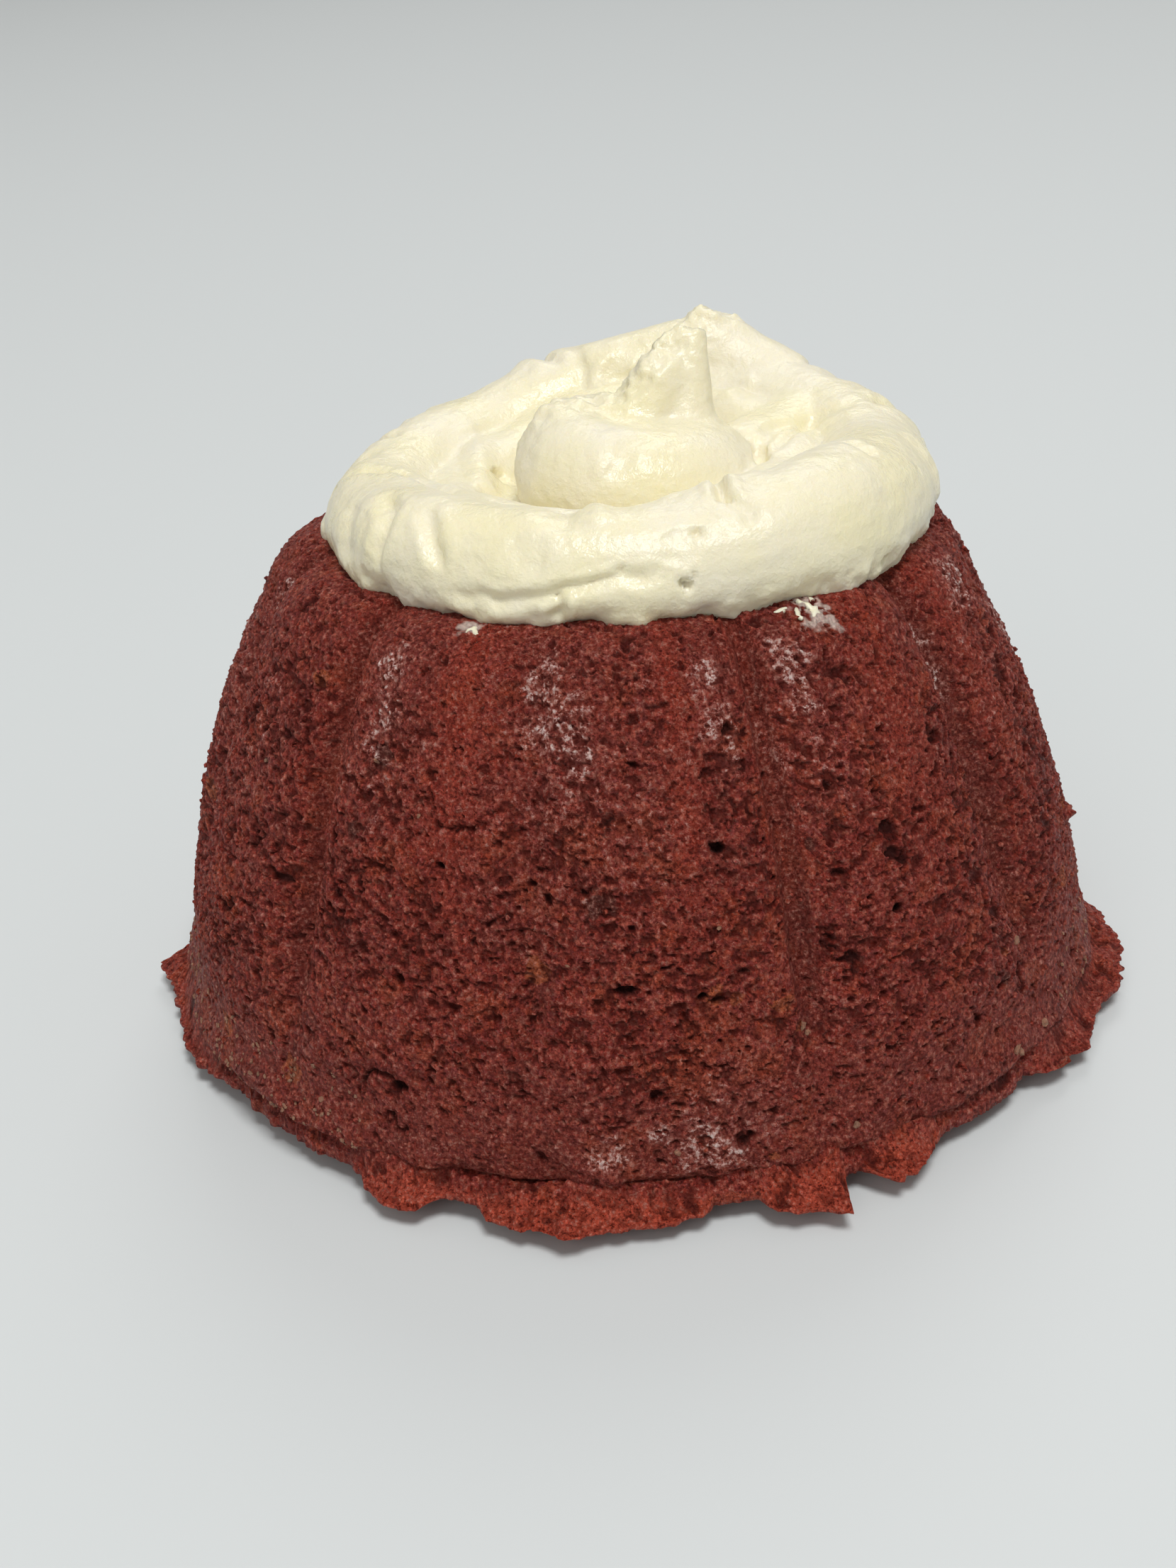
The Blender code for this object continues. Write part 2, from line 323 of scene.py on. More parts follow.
def flute_relief(azimuth, z):
    """How far the wall is drawn in at this place, by the grooves and the bow of the lobes."""
    relief, nearest = 0.0, np.full(len(azimuth), 180.0)
    for middle, depth, half_width in GROOVES:
        off = np.abs(turn_between(azimuth, middle))
        channel = 1 - smooth(*CHANNEL_SIDE, off / half_width)
        relief += depth * (bell(off, half_width) + GROOVE_CHANNEL * channel)
        nearest = np.minimum(nearest, off)
    relief += LOBE_BOW * np.maximum(0.0, 1 - nearest * 2 * FLUTES / 360) ** 2
    return relief * (FLUTES_LEFT + (1 - FLUTES_LEFT) * smooth(*FLUTES_FADE, z))


print(len(GROOVES), "grooves, foot", 2 * BASE_RADIUS, "mm across")

# %% [markdown]
# ## The crumb
#
# A butter cake's side is an open crumb: it tore off the tin's wall, so it is all small clods
# about three quarters of a millimetre wide, with grit on them, dark gaps between them and here
# and there a ragged pit. A bump map can't throw the small shadows that make it look moist and
# open, so the crumb is carved as geometry. The clods are the nearest of scattered centres. The
# pits are where a fractal noise is high, which gives them torn outlines, where carved spheres
# would look like a honeycomb. They lie a little flat, because the batter sank as it cooled.

# %% Crumb
CLOD_SIZE, CLOD_HEIGHT = 0.7, 0.38
CLOD_EDGE = 0.42  # how far from its middle a clod is level with the skin, in sizes
GRIT_SIZE, GRIT_HEIGHT = 0.5, 0.22
WARP_SIZE, WARP = 1.1, 0.4  # bends the clods, so that none is round
PITS = (  # size, how high the noise must be, depth, seed
    (2.6, 0.42, 0.65, 101),
    (1.4, 0.30, 0.45, 111),
    (0.75, 0.16, 0.32, 121),
)
PIT_WALL = 0.13  # how much the noise rises from the rim of a pit to its floor
SKIN_HOLDS = 0.3  # how much higher the noise must be to open a pit in closed skin
SKIN_RELIEF = 0.2  # the share of the clods that closed skin still shows
FLATTENING = 1.4


def crumb_relief(place, openness):
    """How far the crumb stands out of its skin at each place, in millimetres."""
    warp = np.stack([rough(place, WARP_SIZE, 131 + 3 * i, 2) for i in range(3)], axis=1)
    flat = place * (1.0, 1.0, FLATTENING) + WARP * warp
    clods = CLOD_HEIGHT * (CLOD_EDGE - nearest_centre(flat, CLOD_SIZE, 181))
    relief = clods + GRIT_HEIGHT * rough(place, GRIT_SIZE, 161, 2)
    relief = relief * (SKIN_RELIEF + (1 - SKIN_RELIEF) * np.clip(openness, 0, 1))
    for size, level, depth, seed in PITS:
        level = level + SKIN_HOLDS * (1 - openness)
        hole = smooth(level, level + PIT_WALL, rough(flat, size, seed, 3))
        relief = relief * (1 - hole) - depth * hole
    return relief


print("clods are", CLOD_SIZE, "mm wide, pits up to", PITS[0][2], "mm deep")

# %% [markdown]
# ## Marks on the wall
#
# Some places on the wall are not like the rest: large burst cells, smooth greasy patches whose
# shine is painted into the colour as a pinker tone with light glints, spots of less coloured
# batter, dark spots of baked cocoa, crumbs that stand out and fine cracks. Bands of redder, closed
# skin run down from the shoulder, and beside the frosting a pale film of it was rubbed into the
# crumb. In front each mark is where the camera sees it. Round the back a seeded draw scatters
# more, so that no side looks cleaner than another. A small function for each kind says how much of
# it there is at a place, and the body's rule below asks them all.

# %% Wall marks
BURSTS = [  # azimuth, z, radius, as in the four lists below
    (-30, 31.4, 0.6), (-25, 31.2, 0.5), (9.5, 32.4, 0.8), (-2.5, 22, 0.9), (6, 21, 0.6),
    (31, 24.3, 0.6), (-54, 18, 0.6), (-29, 11.8, 0.8), (8.6, 26.0, 0.5),
]
# painted highlight: a pinker tone and light glints are painted into the crumb's colour here
PAINTED_SHEENS = [
    (-9.5, 41.8, 3.6), (-12.5, 44.4, 2.0), (-7.5, 39.4, 2.2), (-36.6, 44.6, 2.4), (-36, 41.6, 2.6),
    (-37, 38.8, 1.5), (12.2, 41, 2.4), (11.5, 44.3, 2.0), (12.6, 38.4, 1.5), (24.5, 44, 2.4),
    (25, 40.9, 2.0), (54.2, 37.1, 1.8), (54, 41.5, 1.8), (4.3, 7.9, 3.2), (0.9, 9.3, 1.8),
    (-4.4, 7.6, 2.0), (-6.9, 7.2, 1.8), (8.2, 7.2, 1.8),
]
# wider, weaker patches of the same painted sheen
BROAD_PAINTED_SHEENS = [(-7, 36, 13), (-36, 38, 8), (24, 38, 8), (-62, 36, 7), (7, 10, 8), (64, 36, 7)]
BROAD_SHARE = 0.35  # how much these shine beside the others
RED_BANDS = (  # azimuth, half width in degrees
    (-45, 4), (-24, 5), (6, 2.5), (18.5, 2.5), (39, 5), (61, 4),
)
PALE_SPOTS = [
    (7.3, 20.6, 1.5), (9.6, 20.2, 1.1), (15.6, 18.9, 1.2), (17.3, 16.2, 0.9), (-52, 42, 1.1),
    (-46, 8.7, 1.4), (-12.5, 22.8, 1.3), (47, 15.6, 0.8), (12.5, 6.2, 1.1), (-60, 9, 1.3),
]
DARK_SPOTS = [
    (-35.2, 38.4, 1.1), (-38, 32.4, 1.2), (46, 13.6, 1.4), (21.5, 30.5, 1.0), (-4.2, 28.6, 1.8),
]
SPURS = (  # azimuth, z, width, height
    (-84, 37.5, 0.5, 0.8), (76, 18.5, 0.7, 1.3), (-88, 24, 0.5, 0.5), (84, 30, 0.6, 0.6),
    (-100, 19, 0.9, 0.9), (104, 27, 0.8, 0.9), (150, 24, 0.9, 1.0), (-160, 30, 0.8, 0.9),
)
CRACKS = [  # lines through (azimuth, z)
    ((-34.9, 10.0), (-34.0, 11.6), (-32.4, 12.7), (-30.5, 12.8), (-29.1, 12.0)),
    ((-30.2, 9.0), (-29.5, 7.9), (-28.6, 7.6), (-28.2, 8.2)),
]
SMEARS = (  # x, y, how far it spreads, number of strands
    (15.4, -25.0, 2.3, 7),
    (-12.6, -24.9, 1.4, 2),
    (27.5, 12.0, 1.8, 4),
    (-17.5, 21.5, 1.8, 5),
)
CRACK_DEPTH, CRACK_HALF_WIDTH = 0.55, 0.16
UNSEEN_FROM, UNSEEN_SPAN = 66, 218  # the stretch of azimuth that the camera doesn't see
BACK_MARKS = (  # the list, how many more, least and most radius, least and most z
    (BURSTS, 20, 0.5, 0.9, 10, 40),
    (PAINTED_SHEENS, 20, 1.6, 3.6, 36, 44),
    (BROAD_PAINTED_SHEENS, 8, 7, 11, 32, 40),
    (PALE_SPOTS, 22, 0.9, 1.6, 7, 42),
    (DARK_SPOTS, 12, 0.9, 1.4, 10, 40),
)
BACK_CRACKS = 7
WORN_SIZE = 1.6


def unseen_azimuth(draw, i, count):
    """A place in the i-th of count even stretches of the unseen side."""
    return UNSEEN_FROM + UNSEEN_SPAN * (i + draw.random()) / count


def scatter_back_marks():
    """More marks of each kind round the unseen side, drawn by a seeded rule."""
    draw = random.Random(29)
    for spots, count, least, most, lowest, highest in BACK_MARKS:
        for i in range(count):
            azimuth = unseen_azimuth(draw, i, count)
            spots.append((azimuth, draw.uniform(lowest, highest), draw.uniform(least, most)))
    for i in range(BACK_CRACKS):
        azimuth, z = unseen_azimuth(draw, i, BACK_CRACKS), draw.uniform(8, 22)
        steps = [(draw.uniform(1.0, 1.8) * k, draw.uniform(-0.9, 0.9)) for k in range(4)]
        CRACKS.append([(azimuth + turn, z + rise) for turn, rise in steps])


scatter_back_marks()
print(len(BURSTS), "burst cells,", len(PAINTED_SHEENS), "greasy patches")


# %% Where the marks lie
def within(spots, azimuth, place, ragged, flatness=1.2, core=0.4):
    """How far inside one of the spots each place is, from 0 to 1, with ragged edges.

    It is 1 up to core radii from a spot's middle and 0 past its rim.
    """
    radius = np.hypot(place[:, 0], place[:, 1])
    worn = ragged * rough(place, WORN_SIZE, 141, 4)
    most = np.zeros(len(place))
    for middle, z, size in spots:
        across = np.radians(turn_between(azimuth, middle)) * radius
        off = np.hypot(across, (place[:, 2] - z) * flatness)
        most = np.maximum(most, 1 - smooth(core, 1.1, off / size + worn))
    return most


def smear_share(place):
    """Where the frosting was rubbed thinly into the crumb."""
    worn = 0.8 * rough(place, 1.3, 147, 4)
    off = [np.hypot(place[:, 0] - x, place[:, 1] - y) / spread for x, y, spread, _ in SMEARS]
    return (1 - smooth(0.4, 1.2, np.min(off, axis=0) + worn)) * smooth(40, 42, place[:, 2])


def crack_depth(azimuth, place):
    """How deep the cracks are at each place. They are lines drawn on the unrolled wall."""
    unrolled = np.radians(BASE_RADIUS)
    wander = np.stack([rough(place, 0.9, 145 + i, 2) for i in range(2)], axis=1)
    depth = np.zeros(len(place))
    for line in CRACKS:
        turn = turn_between(azimuth, line[0][0])
        flat = np.stack([turn * unrolled, place[:, 2]], axis=1) + 0.5 * wander
        points = [((a - line[0][0]) * unrolled, z) for a, z in line]
        away = to_line(flat, points)[0]
        depth = np.maximum(depth, CRACK_DEPTH * bell(away, CRACK_HALF_WIDTH))
    return depth


print("cracks", CRACK_DEPTH, "mm deep, the first is a line of", len(CRACKS[0]), "points")

# %% [markdown]
# ## The baked body
#
# The body is a profile spun round the Z axis. The profile is read off the tin's form at even
# steps, close together on the wall, where the crumb is carved, and wide apart under the frosting
# and under the cake. A quarter turn at a fifth of a millimetre already fills a mesh of sensible
# size, so the body is made as four quarters, cut as one would cut the cake. Each is a closed
# wedge. They meet exactly, because each corner moves by a rule of its place alone.

# %% Body profile
WALL_STEP = 0.2
WEDGE_COLUMNS = 320
COVERED_RADII = (0.0, 8.0, 14.0, 18.0, 20.5, 22.0)
SHOULDER_ROWS = 48
UNDER_SHARES = (0.7, 0.4, 0.15)  # of the way from the rest spot out to the foot
WEDGES = (("cake_front", -46.0), ("cake_right", 44.0), ("cake_back", 134.0), ("cake_left", 224.0))


def shoulder_arc(count):
    """Points (radius, z) from the flat top over the round shoulder to the wall."""
    lean = math.atan((BASE_RADIUS - SHOULDER_RADIUS) * WALL_BOW / (SHOULDER_Z - BASE_Z))
    bend = (CAKE_TOP - SHOULDER_Z) / (1 - math.sin(lean))
    centre_r = SHOULDER_RADIUS - bend * math.cos(lean)
    centre_z = CAKE_TOP - bend
    angles = np.linspace(math.pi / 2, lean, count)
    return [(centre_r + bend * math.cos(a), centre_z + bend * math.sin(a)) for a in angles]


def body_profile():
    """The body's section, from the middle of its top to the middle of its underside."""
    points = [(radius, CAKE_TOP) for radius in COVERED_RADII]
    points += shoulder_arc(SHOULDER_ROWS)
    rows = int((SHOULDER_Z - BASE_Z) / WALL_STEP)
    for i in range(1, rows + 1):
        z = SHOULDER_Z + (BASE_Z - SHOULDER_Z) * i / rows
        points.append((wall_radius(z), z))
    points += [(BASE_RADIUS - 0.15, 4.8), (BASE_RADIUS - 0.6, 4.3), (BASE_RADIUS - 1.4, 3.7)]
    points += [(BASE_RADIUS - 3.0, 3.0)]
    for share in UNDER_SHARES:
        radius = REST_RADIUS + (BASE_RADIUS - REST_RADIUS) * share
        points.append((radius, DOME_RISE * share ** 1.6))
    return points + [(REST_RADIUS, 0.0), (0.0, 0.0)]


BODY_PROFILE = body_profile()
print(len(BODY_PROFILE), "rows in the profile")

# %% [markdown]
# Carving has to push straight into the skin, so it needs to know how far the skin leans back
# at each height. That is read off the profile. Over the top of the shoulder it points straight
# up, and on the wall nearly sideways.


# %% Body rule
GROOVE_SKIN, BAND_SKIN = 0.9, 0.6  # how closed the crumb is in each, from 0 to 1
SHOULDER_SKIN, FOOT_SKIN = 0.5, 0.75
PATCH_SIZE, PATCHES = 9.0, 0.45  # and how much it varies
BARE_FROM = (21, 26.5)  # the radii where the frosting's cover ends and the carving begins
BURST_DEPTH = 0.85
SKIN_LIFT = 0.1
SWELLS = ((0.28, 7.0, 171), (0.14, 3.0, 172))  # height, size, seed
FOOT_FLARE, FOOT_SWELL, FOOT_DROOP = 1.2, 0.7, 0.8


def lean_at(z):
    """The angle of the skin's outward direction above the horizon, in radians."""
    wall = [(r, h) for r, h in BODY_PROFILE if h > BASE_Z and r > 20][::-1]
    radii, heights = np.array(wall).T
    leans = np.arctan2(-np.gradient(radii), np.gradient(heights))
    return np.interp(z, heights, leans)


def band_share(azimuth, z):
    """How far each place lies in one of the red bands, which run down the upper wall."""
    shares = [bell(turn_between(azimuth, middle), width) for middle, width in RED_BANDS]
    return np.max(shares, axis=0) * smooth(20, 34, z)


def openness_at(azimuth, z, place):
    """How open the crumb is: closed skin in the grooves and near the edges, open between."""
    torn = 0.5 * rough(place, 2.6, 153, 3)
    skin = (GROOVE_SKIN + torn) * groove_share(azimuth) * smooth(10, 24, z)
    skin = np.maximum(skin, BAND_SKIN * band_share(azimuth, z))
    skin = np.maximum(skin, SHOULDER_SKIN * smooth(38, 46, z))
    patches = PATCHES * rough(place, PATCH_SIZE, 151)
    skin = np.maximum(skin, FOOT_SKIN * (1 - smooth(6, 20, z + 6 * patches)))
    openness = np.clip(1.1 - skin + patches, 0.05, 1.4)
    return openness, np.clip(skin - 0.7 * patches, 0.0, 1.0)


def foot_blend(azimuth):
    """How softly the wall runs out into the skirt: hardly at all where it tore off in front."""
    off = turn_between(azimuth, 0)
    x, y = on_ring(azimuth, BASE_RADIUS)
    torn = 0.35 + 0.65 * smooth(-0.3, 0.2, rough(np.stack([x, y, 0 * x], axis=1), 5.0, 241))
    return 1 - 0.95 * torn * smooth(-36, -26, off) * (1 - smooth(28, 38, off))


def body_rule(place, normals):
    """Draw in the flutes, swell the lobes and carve the crumb."""
    radius = np.hypot(place[:, 0], place[:, 1])
    azimuth, z = azimuth_of(place[:, 0], place[:, 1]), place[:, 2]
    on_wall = smooth(*BARE_FROM, radius) * smooth(BASE_Z - 1.6, BASE_Z, z)
    openness, skin = openness_at(azimuth, z, place)
    relief = crumb_relief(place, openness)
    relief = relief - BURST_DEPTH * within(BURSTS, azimuth, place, ragged=1.6, flatness=1.7)
    relief -= crack_depth(azimuth, place)
    for middle, height, size, spur in SPURS:
        across = np.radians(turn_between(azimuth, middle)) * radius
        relief += spur * bell(np.hypot(across, z - height), size)
    swell = sum(height * grain(place, size, seed) for height, size, seed in SWELLS)
    near_foot = 1 - smooth(BASE_Z, BASE_Z + 3.5, z)
    swell += near_foot * FOOT_SWELL * rough(place, 4.0, 175, 2)
    swell += FOOT_FLARE * foot_blend(azimuth) * (1 - smooth(BASE_Z - 1, BASE_Z + 4, z))
    outward = on_wall * (relief + swell + SKIN_LIFT)
    fluted = radius - on_wall * flute_relief(azimuth, z)
    lean = lean_at(z)
    x, y = on_ring(azimuth, fluted + outward * np.cos(lean))
    droop = on_wall * near_foot * FOOT_DROOP * rough(place, 3.4, 177, 2)
    moved = np.stack([x, y, z + outward * np.sin(lean) + droop], axis=1)
    # where sheen is painted into the colour as a pinker tone with glints
    painted_sheen = within(PAINTED_SHEENS, azimuth, place, ragged=0.8, flatness=0.9, core=0.2)
    broad = within(BROAD_PAINTED_SHEENS, azimuth, place, ragged=1.0, flatness=0.9, core=0.0)
    marks = {
        # the carving's depth, which also paints shade into the pits and gaps
        "relief": on_wall * relief,
        "skin": np.maximum(skin, 0) * (1 - band_share(azimuth, z)),
        "band": band_share(azimuth, z),
        # where shade is painted along the grooves' floors
        "groove": groove_share(azimuth) * smooth(10, 22, z),
        "painted_sheen": np.maximum(painted_sheen, BROAD_SHARE * broad),
        "pale": within(PALE_SPOTS, azimuth, place, ragged=1.2),
        "smear": smear_share(place),
        "dark": within(DARK_SPOTS, azimuth, place, ragged=1.2),
    }
    return moved, marks


print("skin leans back", round(math.degrees(float(lean_at(40.0)))), "degrees at 40 mm")

# %% [markdown]
# Spinning a line by a quarter turn leaves two open sides. Each is filled with one flat face on
# the axis. The faces of the skin are shaded smooth and these two flat.


# %% Body
STRIPS = 20


def turned(profile, start, angle, columns, closed=False):
    """A bmesh of a profile of (radius, z) spun by an angle, one strip first and then its copies.

    Spin slows down as its mesh grows, so a narrow strip is spun and then repeated round.
    """
    shape = bmesh.new()
    line = []
    for radius, z in profile:
        x, y = on_ring(start, radius)
        line.append(shape.verts.new((x * MM, y * MM, z * MM)))
    ends = line[1:] + line[:1] if closed else line[1:]
    edges = [shape.edges.new(pair) for pair in zip(line, ends)]
    strip = math.radians(angle) / STRIPS
    about = {"cent": (0, 0, 0), "axis": (0, 0, 1), "dvec": (0, 0, 0)}
    bmesh.ops.spin(
        shape, geom=line + edges, angle=strip, steps=columns // STRIPS, use_merge=False, **about
    )
    everything = shape.verts[:] + shape.edges[:] + shape.faces[:]
    bmesh.ops.spin(
        shape, geom=everything, angle=strip * (STRIPS - 1), steps=STRIPS - 1, use_duplicate=True,
        **about,
    )
    bmesh.ops.remove_doubles(shape, verts=shape.verts, dist=0.002 * MM)
    for face in shape.faces:
        face.smooth = True
    return shape


def make_wedge(name, start):
    """One closed quarter of the body, from azimuth start to 90 degrees further."""
    shape = turned(BODY_PROFILE, start, 90, WEDGE_COLUMNS)
    tips = [corner for corner in shape.verts if math.hypot(corner.co.x, corner.co.y) < 0.01 * MM]
    axis = shape.edges.new(tips)
    for side in (start, start + 90):
        rim = []
        for edge in shape.edges:
            middle = (edge.verts[0].co + edge.verts[1].co) / 2
            if edge.is_boundary and abs(turn_between(azimuth_of(middle.x, middle.y), side)) < 1:
                rim.append(edge)
        bmesh.ops.edgeloop_fill(shape, edges=rim + [axis])
    bmesh.ops.recalc_face_normals(shape, faces=shape.faces)
    wedge = piece_from(shape, name, "cake")
    move_corners(wedge, body_rule)
    return wedge


body = [make_wedge(name, start) for name, start in WEDGES]
print("one wedge has", len(body[0].data.polygons), "faces")

# %% [markdown]
# ## The skirt
#
# Batter that ran over the tin's rim baked into a thin lip, and it tore when the cake was turned
# out. It is a closed ring with a thin section, spun as the body was. Its outer half is then
# pulled out to a torn line with straight stretches between its corners: wide lips where the
# batter held, gaps where it broke off, and fine crumbs along the edge. The corners in front are
# where the camera sees them, and those behind come from a seeded draw.

# %% Torn edge
BARE_REACH = 0.6  # where the lip broke off
TORN_EDGE = [  # the corners of the torn line: azimuth, how far it reaches past the wall
    (-97, 1.0), (-91, 4.8), (-85, 3.2), (-80, 2.3), (-66, 2.3), (-57, BARE_REACH),
    (-37, BARE_REACH), (-30, 3.5), (-26, 3.3), (-23.5, 1.0), (-20.5, 0.9), (-18, 2.8), (-9, 4.6),
    (-5, 3.1), (4, 1.7), (7, BARE_REACH), (10.3, BARE_REACH), (11.5, 2.9), (16.5, 4.0),
    (18.3, 5.5), (20.2, 1.0), (22.2, BARE_REACH), (24.5, 3.5), (28.5, 3.3), (33, BARE_REACH),
    (49, BARE_REACH), (52, 2.6), (60, 3.4), (67, 2.8), (71, 4.1), (81, 4.7), (88, 3.3),
    (91, 1.2), (97, 2.0),
]
BACK_LIPS = 8
BACK_FROM, BACK_TO = 101, 260


def tear_the_back():
    """Corners of the torn line round the unseen side, drawn by a seeded rule."""
    draw = random.Random(7)
    room = (BACK_TO - BACK_FROM) / BACK_LIPS
    for i in range(BACK_LIPS):
        first = BACK_FROM + room * (i + draw.uniform(0.0, 0.2))
        width = room * draw.uniform(0.55, 0.78)
        reach = draw.uniform(3.4, 6.4)
        TORN_EDGE.append((first, BARE_REACH))
        TORN_EDGE.append((first + width * draw.uniform(0.1, 0.4), reach))
        TORN_EDGE.append((first + width * draw.uniform(0.6, 0.9), reach * draw.uniform(0.7, 1.1)))
        TORN_EDGE.append((first + width, BARE_REACH))


tear_the_back()
print(len(TORN_EDGE), "corners round the torn edge")

# %% Skirt
SKIRT_COLUMNS, SKIRT_ROWS = 1180, 30
SKIRT_INNER = BASE_RADIUS - 2.6
SKIRT_FLAT = 8.0  # how wide the ring is before it is pulled out
EDGE_THICK, LIP_THICK, ROOT_THICK = 0.3, 0.7, 1.4  # at the edge, added behind it and at the wall
FILLET_HEIGHT, FILLET_REACH = 1.6, 1.3
SKIRT_OPENNESS = 0.9


def skirt_reach(azimuth):
    """How far the skirt reaches past the wall at each azimuth, and its fine tears."""
    x, y = on_ring(azimuth, BASE_RADIUS)
    edge = np.stack([x, y, np.zeros(len(x))], axis=1)
    reach = np.interp(azimuth, *np.transpose(TORN_EDGE), period=360)
    reach += 0.5 * rough(edge, 3.4, 201)
    fine = 0.45 * rough(edge, 1.1, 205) + 0.35 * rough(edge, 0.5, 207)
    return np.maximum(0.5, reach), fine


def skirt_profile():
    """The lip's section as a closed loop: out along its top, round its edge and back below."""
    steps = np.linspace(0, 1, SKIRT_ROWS + 1)
    top = [(share, 1.0) for share in steps]
    below = [(share, 0.0) for share in steps[::-3]]
    loop = top + [(1.01, 0.7), (1.014, 0.35)] + below
    return [(SKIRT_INNER + share * SKIRT_FLAT, level) for share, level in loop]


def skirt_rule(place, normals):
    """Pull the flat ring out to its torn outline, thin it to the edge and roughen it."""
    azimuth = azimuth_of(place[:, 0], place[:, 1])
    share = (np.hypot(place[:, 0], place[:, 1]) - SKIRT_INNER) / SKIRT_FLAT
    level = place[:, 2]
    reach, fine = skirt_reach(azimuth)
    width = BASE_RADIUS - SKIRT_INNER + reach
    radius = SKIRT_INNER + share * width + fine * smooth(0.4, 1.0, share)
    past = radius - BASE_RADIUS
    to_edge = (1 - share) * width
    x, y = on_ring(azimuth, radius)
    spot = np.stack([x, y, 3 * level], axis=1)
    outside = smooth(0.0, 2.0, past)
    ground = DOME_RISE - 0.5 + 0.4 * outside * grain(spot, 4.5, 221)
    plate = EDGE_THICK + LIP_THICK * smooth(0.0, 1.6, to_edge) + ROOT_THICK * (1 - outside)
    fillet = FILLET_HEIGHT * foot_blend(azimuth) * bell(np.maximum(0, past), FILLET_REACH)
    relief = 0.8 * crumb_relief(spot, np.full(len(spot), SKIRT_OPENNESS))
    relief = (relief + 0.3 * rough(spot, 2.4, 231)) * smooth(0.1, 0.7, to_edge + 0.3)
    top = level * np.maximum(0.25, plate + fillet * smooth(0, 1.4, to_edge) + relief)
    moved = np.stack([x, y, ground + top], axis=1)
    # the lip's own lighter orange, and painted light that makes it stronger towards the lit front
    front = 1 - smooth(24, 42, np.abs(turn_between(azimuth, 0)))
    marks = {"relief": level * relief, "lip": smooth(0.3, 1.6, past) * (0.25 + 0.75 * front)}
    return moved, marks


def make_skirt():
    """The closed flat ring that the skirt is pulled out of."""
    shape = turned(skirt_profile(), 0, 360, SKIRT_COLUMNS, closed=True)
    bmesh.ops.recalc_face_normals(shape, faces=shape.faces)
    return piece_from(shape, "cake_skirt", "cake")


skirt = make_skirt()
move_corners(skirt, skirt_rule)
print("skirt", len(skirt.data.polygons), "faces")

# %% [markdown]
# ## The frosting
#
# Cream cheese frosting comes from the piping bag as a soft rope about 12 mm thick. It is laid
# as a ring, a second turn fills the ring's inside, and the rest coils up in the middle, where
# the nozzle tore off and left a ragged ridge and a peak. Each rope here is a circle extruded
# through stations, with its own thickness at each. The ropes cross each other freely, and a
# voxel Remesh melts them into one skin, as soft frosting does by itself.

# %% Measures of the frosting
# A row of eight values goes once round the ring from the front, in even steps.
RING_CENTRE = (1.8, 0.2)
RING_RADII = (22.0, 22.4, 22.8, 22.8, 22.6, 22.2, 23.0, 22.6)
RING_CRESTS = (56.0, 57.4, 55.8, 57.0, 58.6, 55.2, 54.2, 55.8)
RING_THICKNESSES = (11.4, 12.6, 12.0, 12.2, 12.0, 11.4, 11.0, 11.2)
INSIDE_RADIUS = 15.5
INSIDE_HALF = 4.6
INSIDE_CRESTS = (52.5, 54.0, 54.4, 55.6, 56.0, 53.6, 52.8, 52.4)
SWIRL_CENTRE = (2.5, -0.4)
SWIRL_RADIUS = 6.0
SWIRL_THICKNESS = 11.4
SWIRL_TOP = 57.8
SWIRL_TILT = 1.0
COIL_FROM, COIL_TURN = 100, 430
RIDGE = (  # x, y, z and radius of each station, as in the ropes below
    (-3.6, 0.6, 56.6, 1.4), (-1.0, 1.4, 56.8, 1.4), (1.2, 1.8, 57.8, 1.4), (2.8, 2.2, 59.0, 1.3),
    (4.8, 2.8, 60.9, 1.3), (6.6, 3.4, 62.8, 1.2), (8.0, 4.0, 64.1, 1.0),
)
UNDER_RIDGE = (
    (-3.5, 0.2, 55.0, 2.4), (0.0, 0.6, 55.6, 2.8), (3.2, 1.2, 57.0, 2.8), (5.4, 1.9, 59.2, 2.6),
    (6.8, 2.8, 61.2, 2.1),
)
HORN = (
    (7.3, 0.8, 54.0, 3.5), (7.5, 1.8, 57.0, 2.8), (7.9, 2.8, 60.0, 2.2), (8.2, 3.5, 62.3, 1.8),
    (8.5, 4.0, 64.0, 1.3),
)
SHRED = ((-6.6, -0.4, 54.4, 2.2), (-5.2, -0.6, 56.8, 1.7), (-3.5, -0.6, 58.5, 0.9))
CROWN = ((-1.0, -0.4, 52.8, 5.0), (3.0, -1.4, 52.2, 5.4), (7.0, -0.6, 51.4, 5.0))
NUB = (
    (-0.5, 21.2, 54.8, 4.0), (5.0, 21.3, 56.0, 4.0), (11.5, 21.4, 57.2, 3.9),
    (15.0, 20.0, 54.9, 4.2), (19.0, 17.5, 53.0, 4.2),
)
NUB_TIP = ((10.6, 21.2, 58.6, 2.8), (12.2, 21.4, 61.2, 1.6))
LAP = ((-21, 2, 49.8, 4.2), (-18.6, -6, 50.4, 4.6), (-12, -12.4, 50.0, 4.6), (-3, -15, 49.0, 4.0))
BRIDGE = ((21, 12, 51.0, 5.4), (17, 7, 50.4, 5.2), (12, 2, 50.2, 5.0))
LOOSE_ENDS = (RIDGE, UNDER_RIDGE, HORN, SHRED, CROWN, NUB, NUB_TIP, LAP, BRIDGE)
ROPE_SIDES = 20
PATH_STATIONS, COIL_STATIONS = 16, 40
FOOT_RISE, FOOT_HALF = 1.4, 4.2  # the rope that spreads where the ring meets the cake
DRUM_RADIUS = 15.0  # of the short thick drum that is the floor inside the ring
FROSTING_VOXEL, FROSTING_EASE = 0.36, 7
print("ring's rope", min(RING_THICKNESSES), "to", max(RING_THICKNESSES), "mm thick")


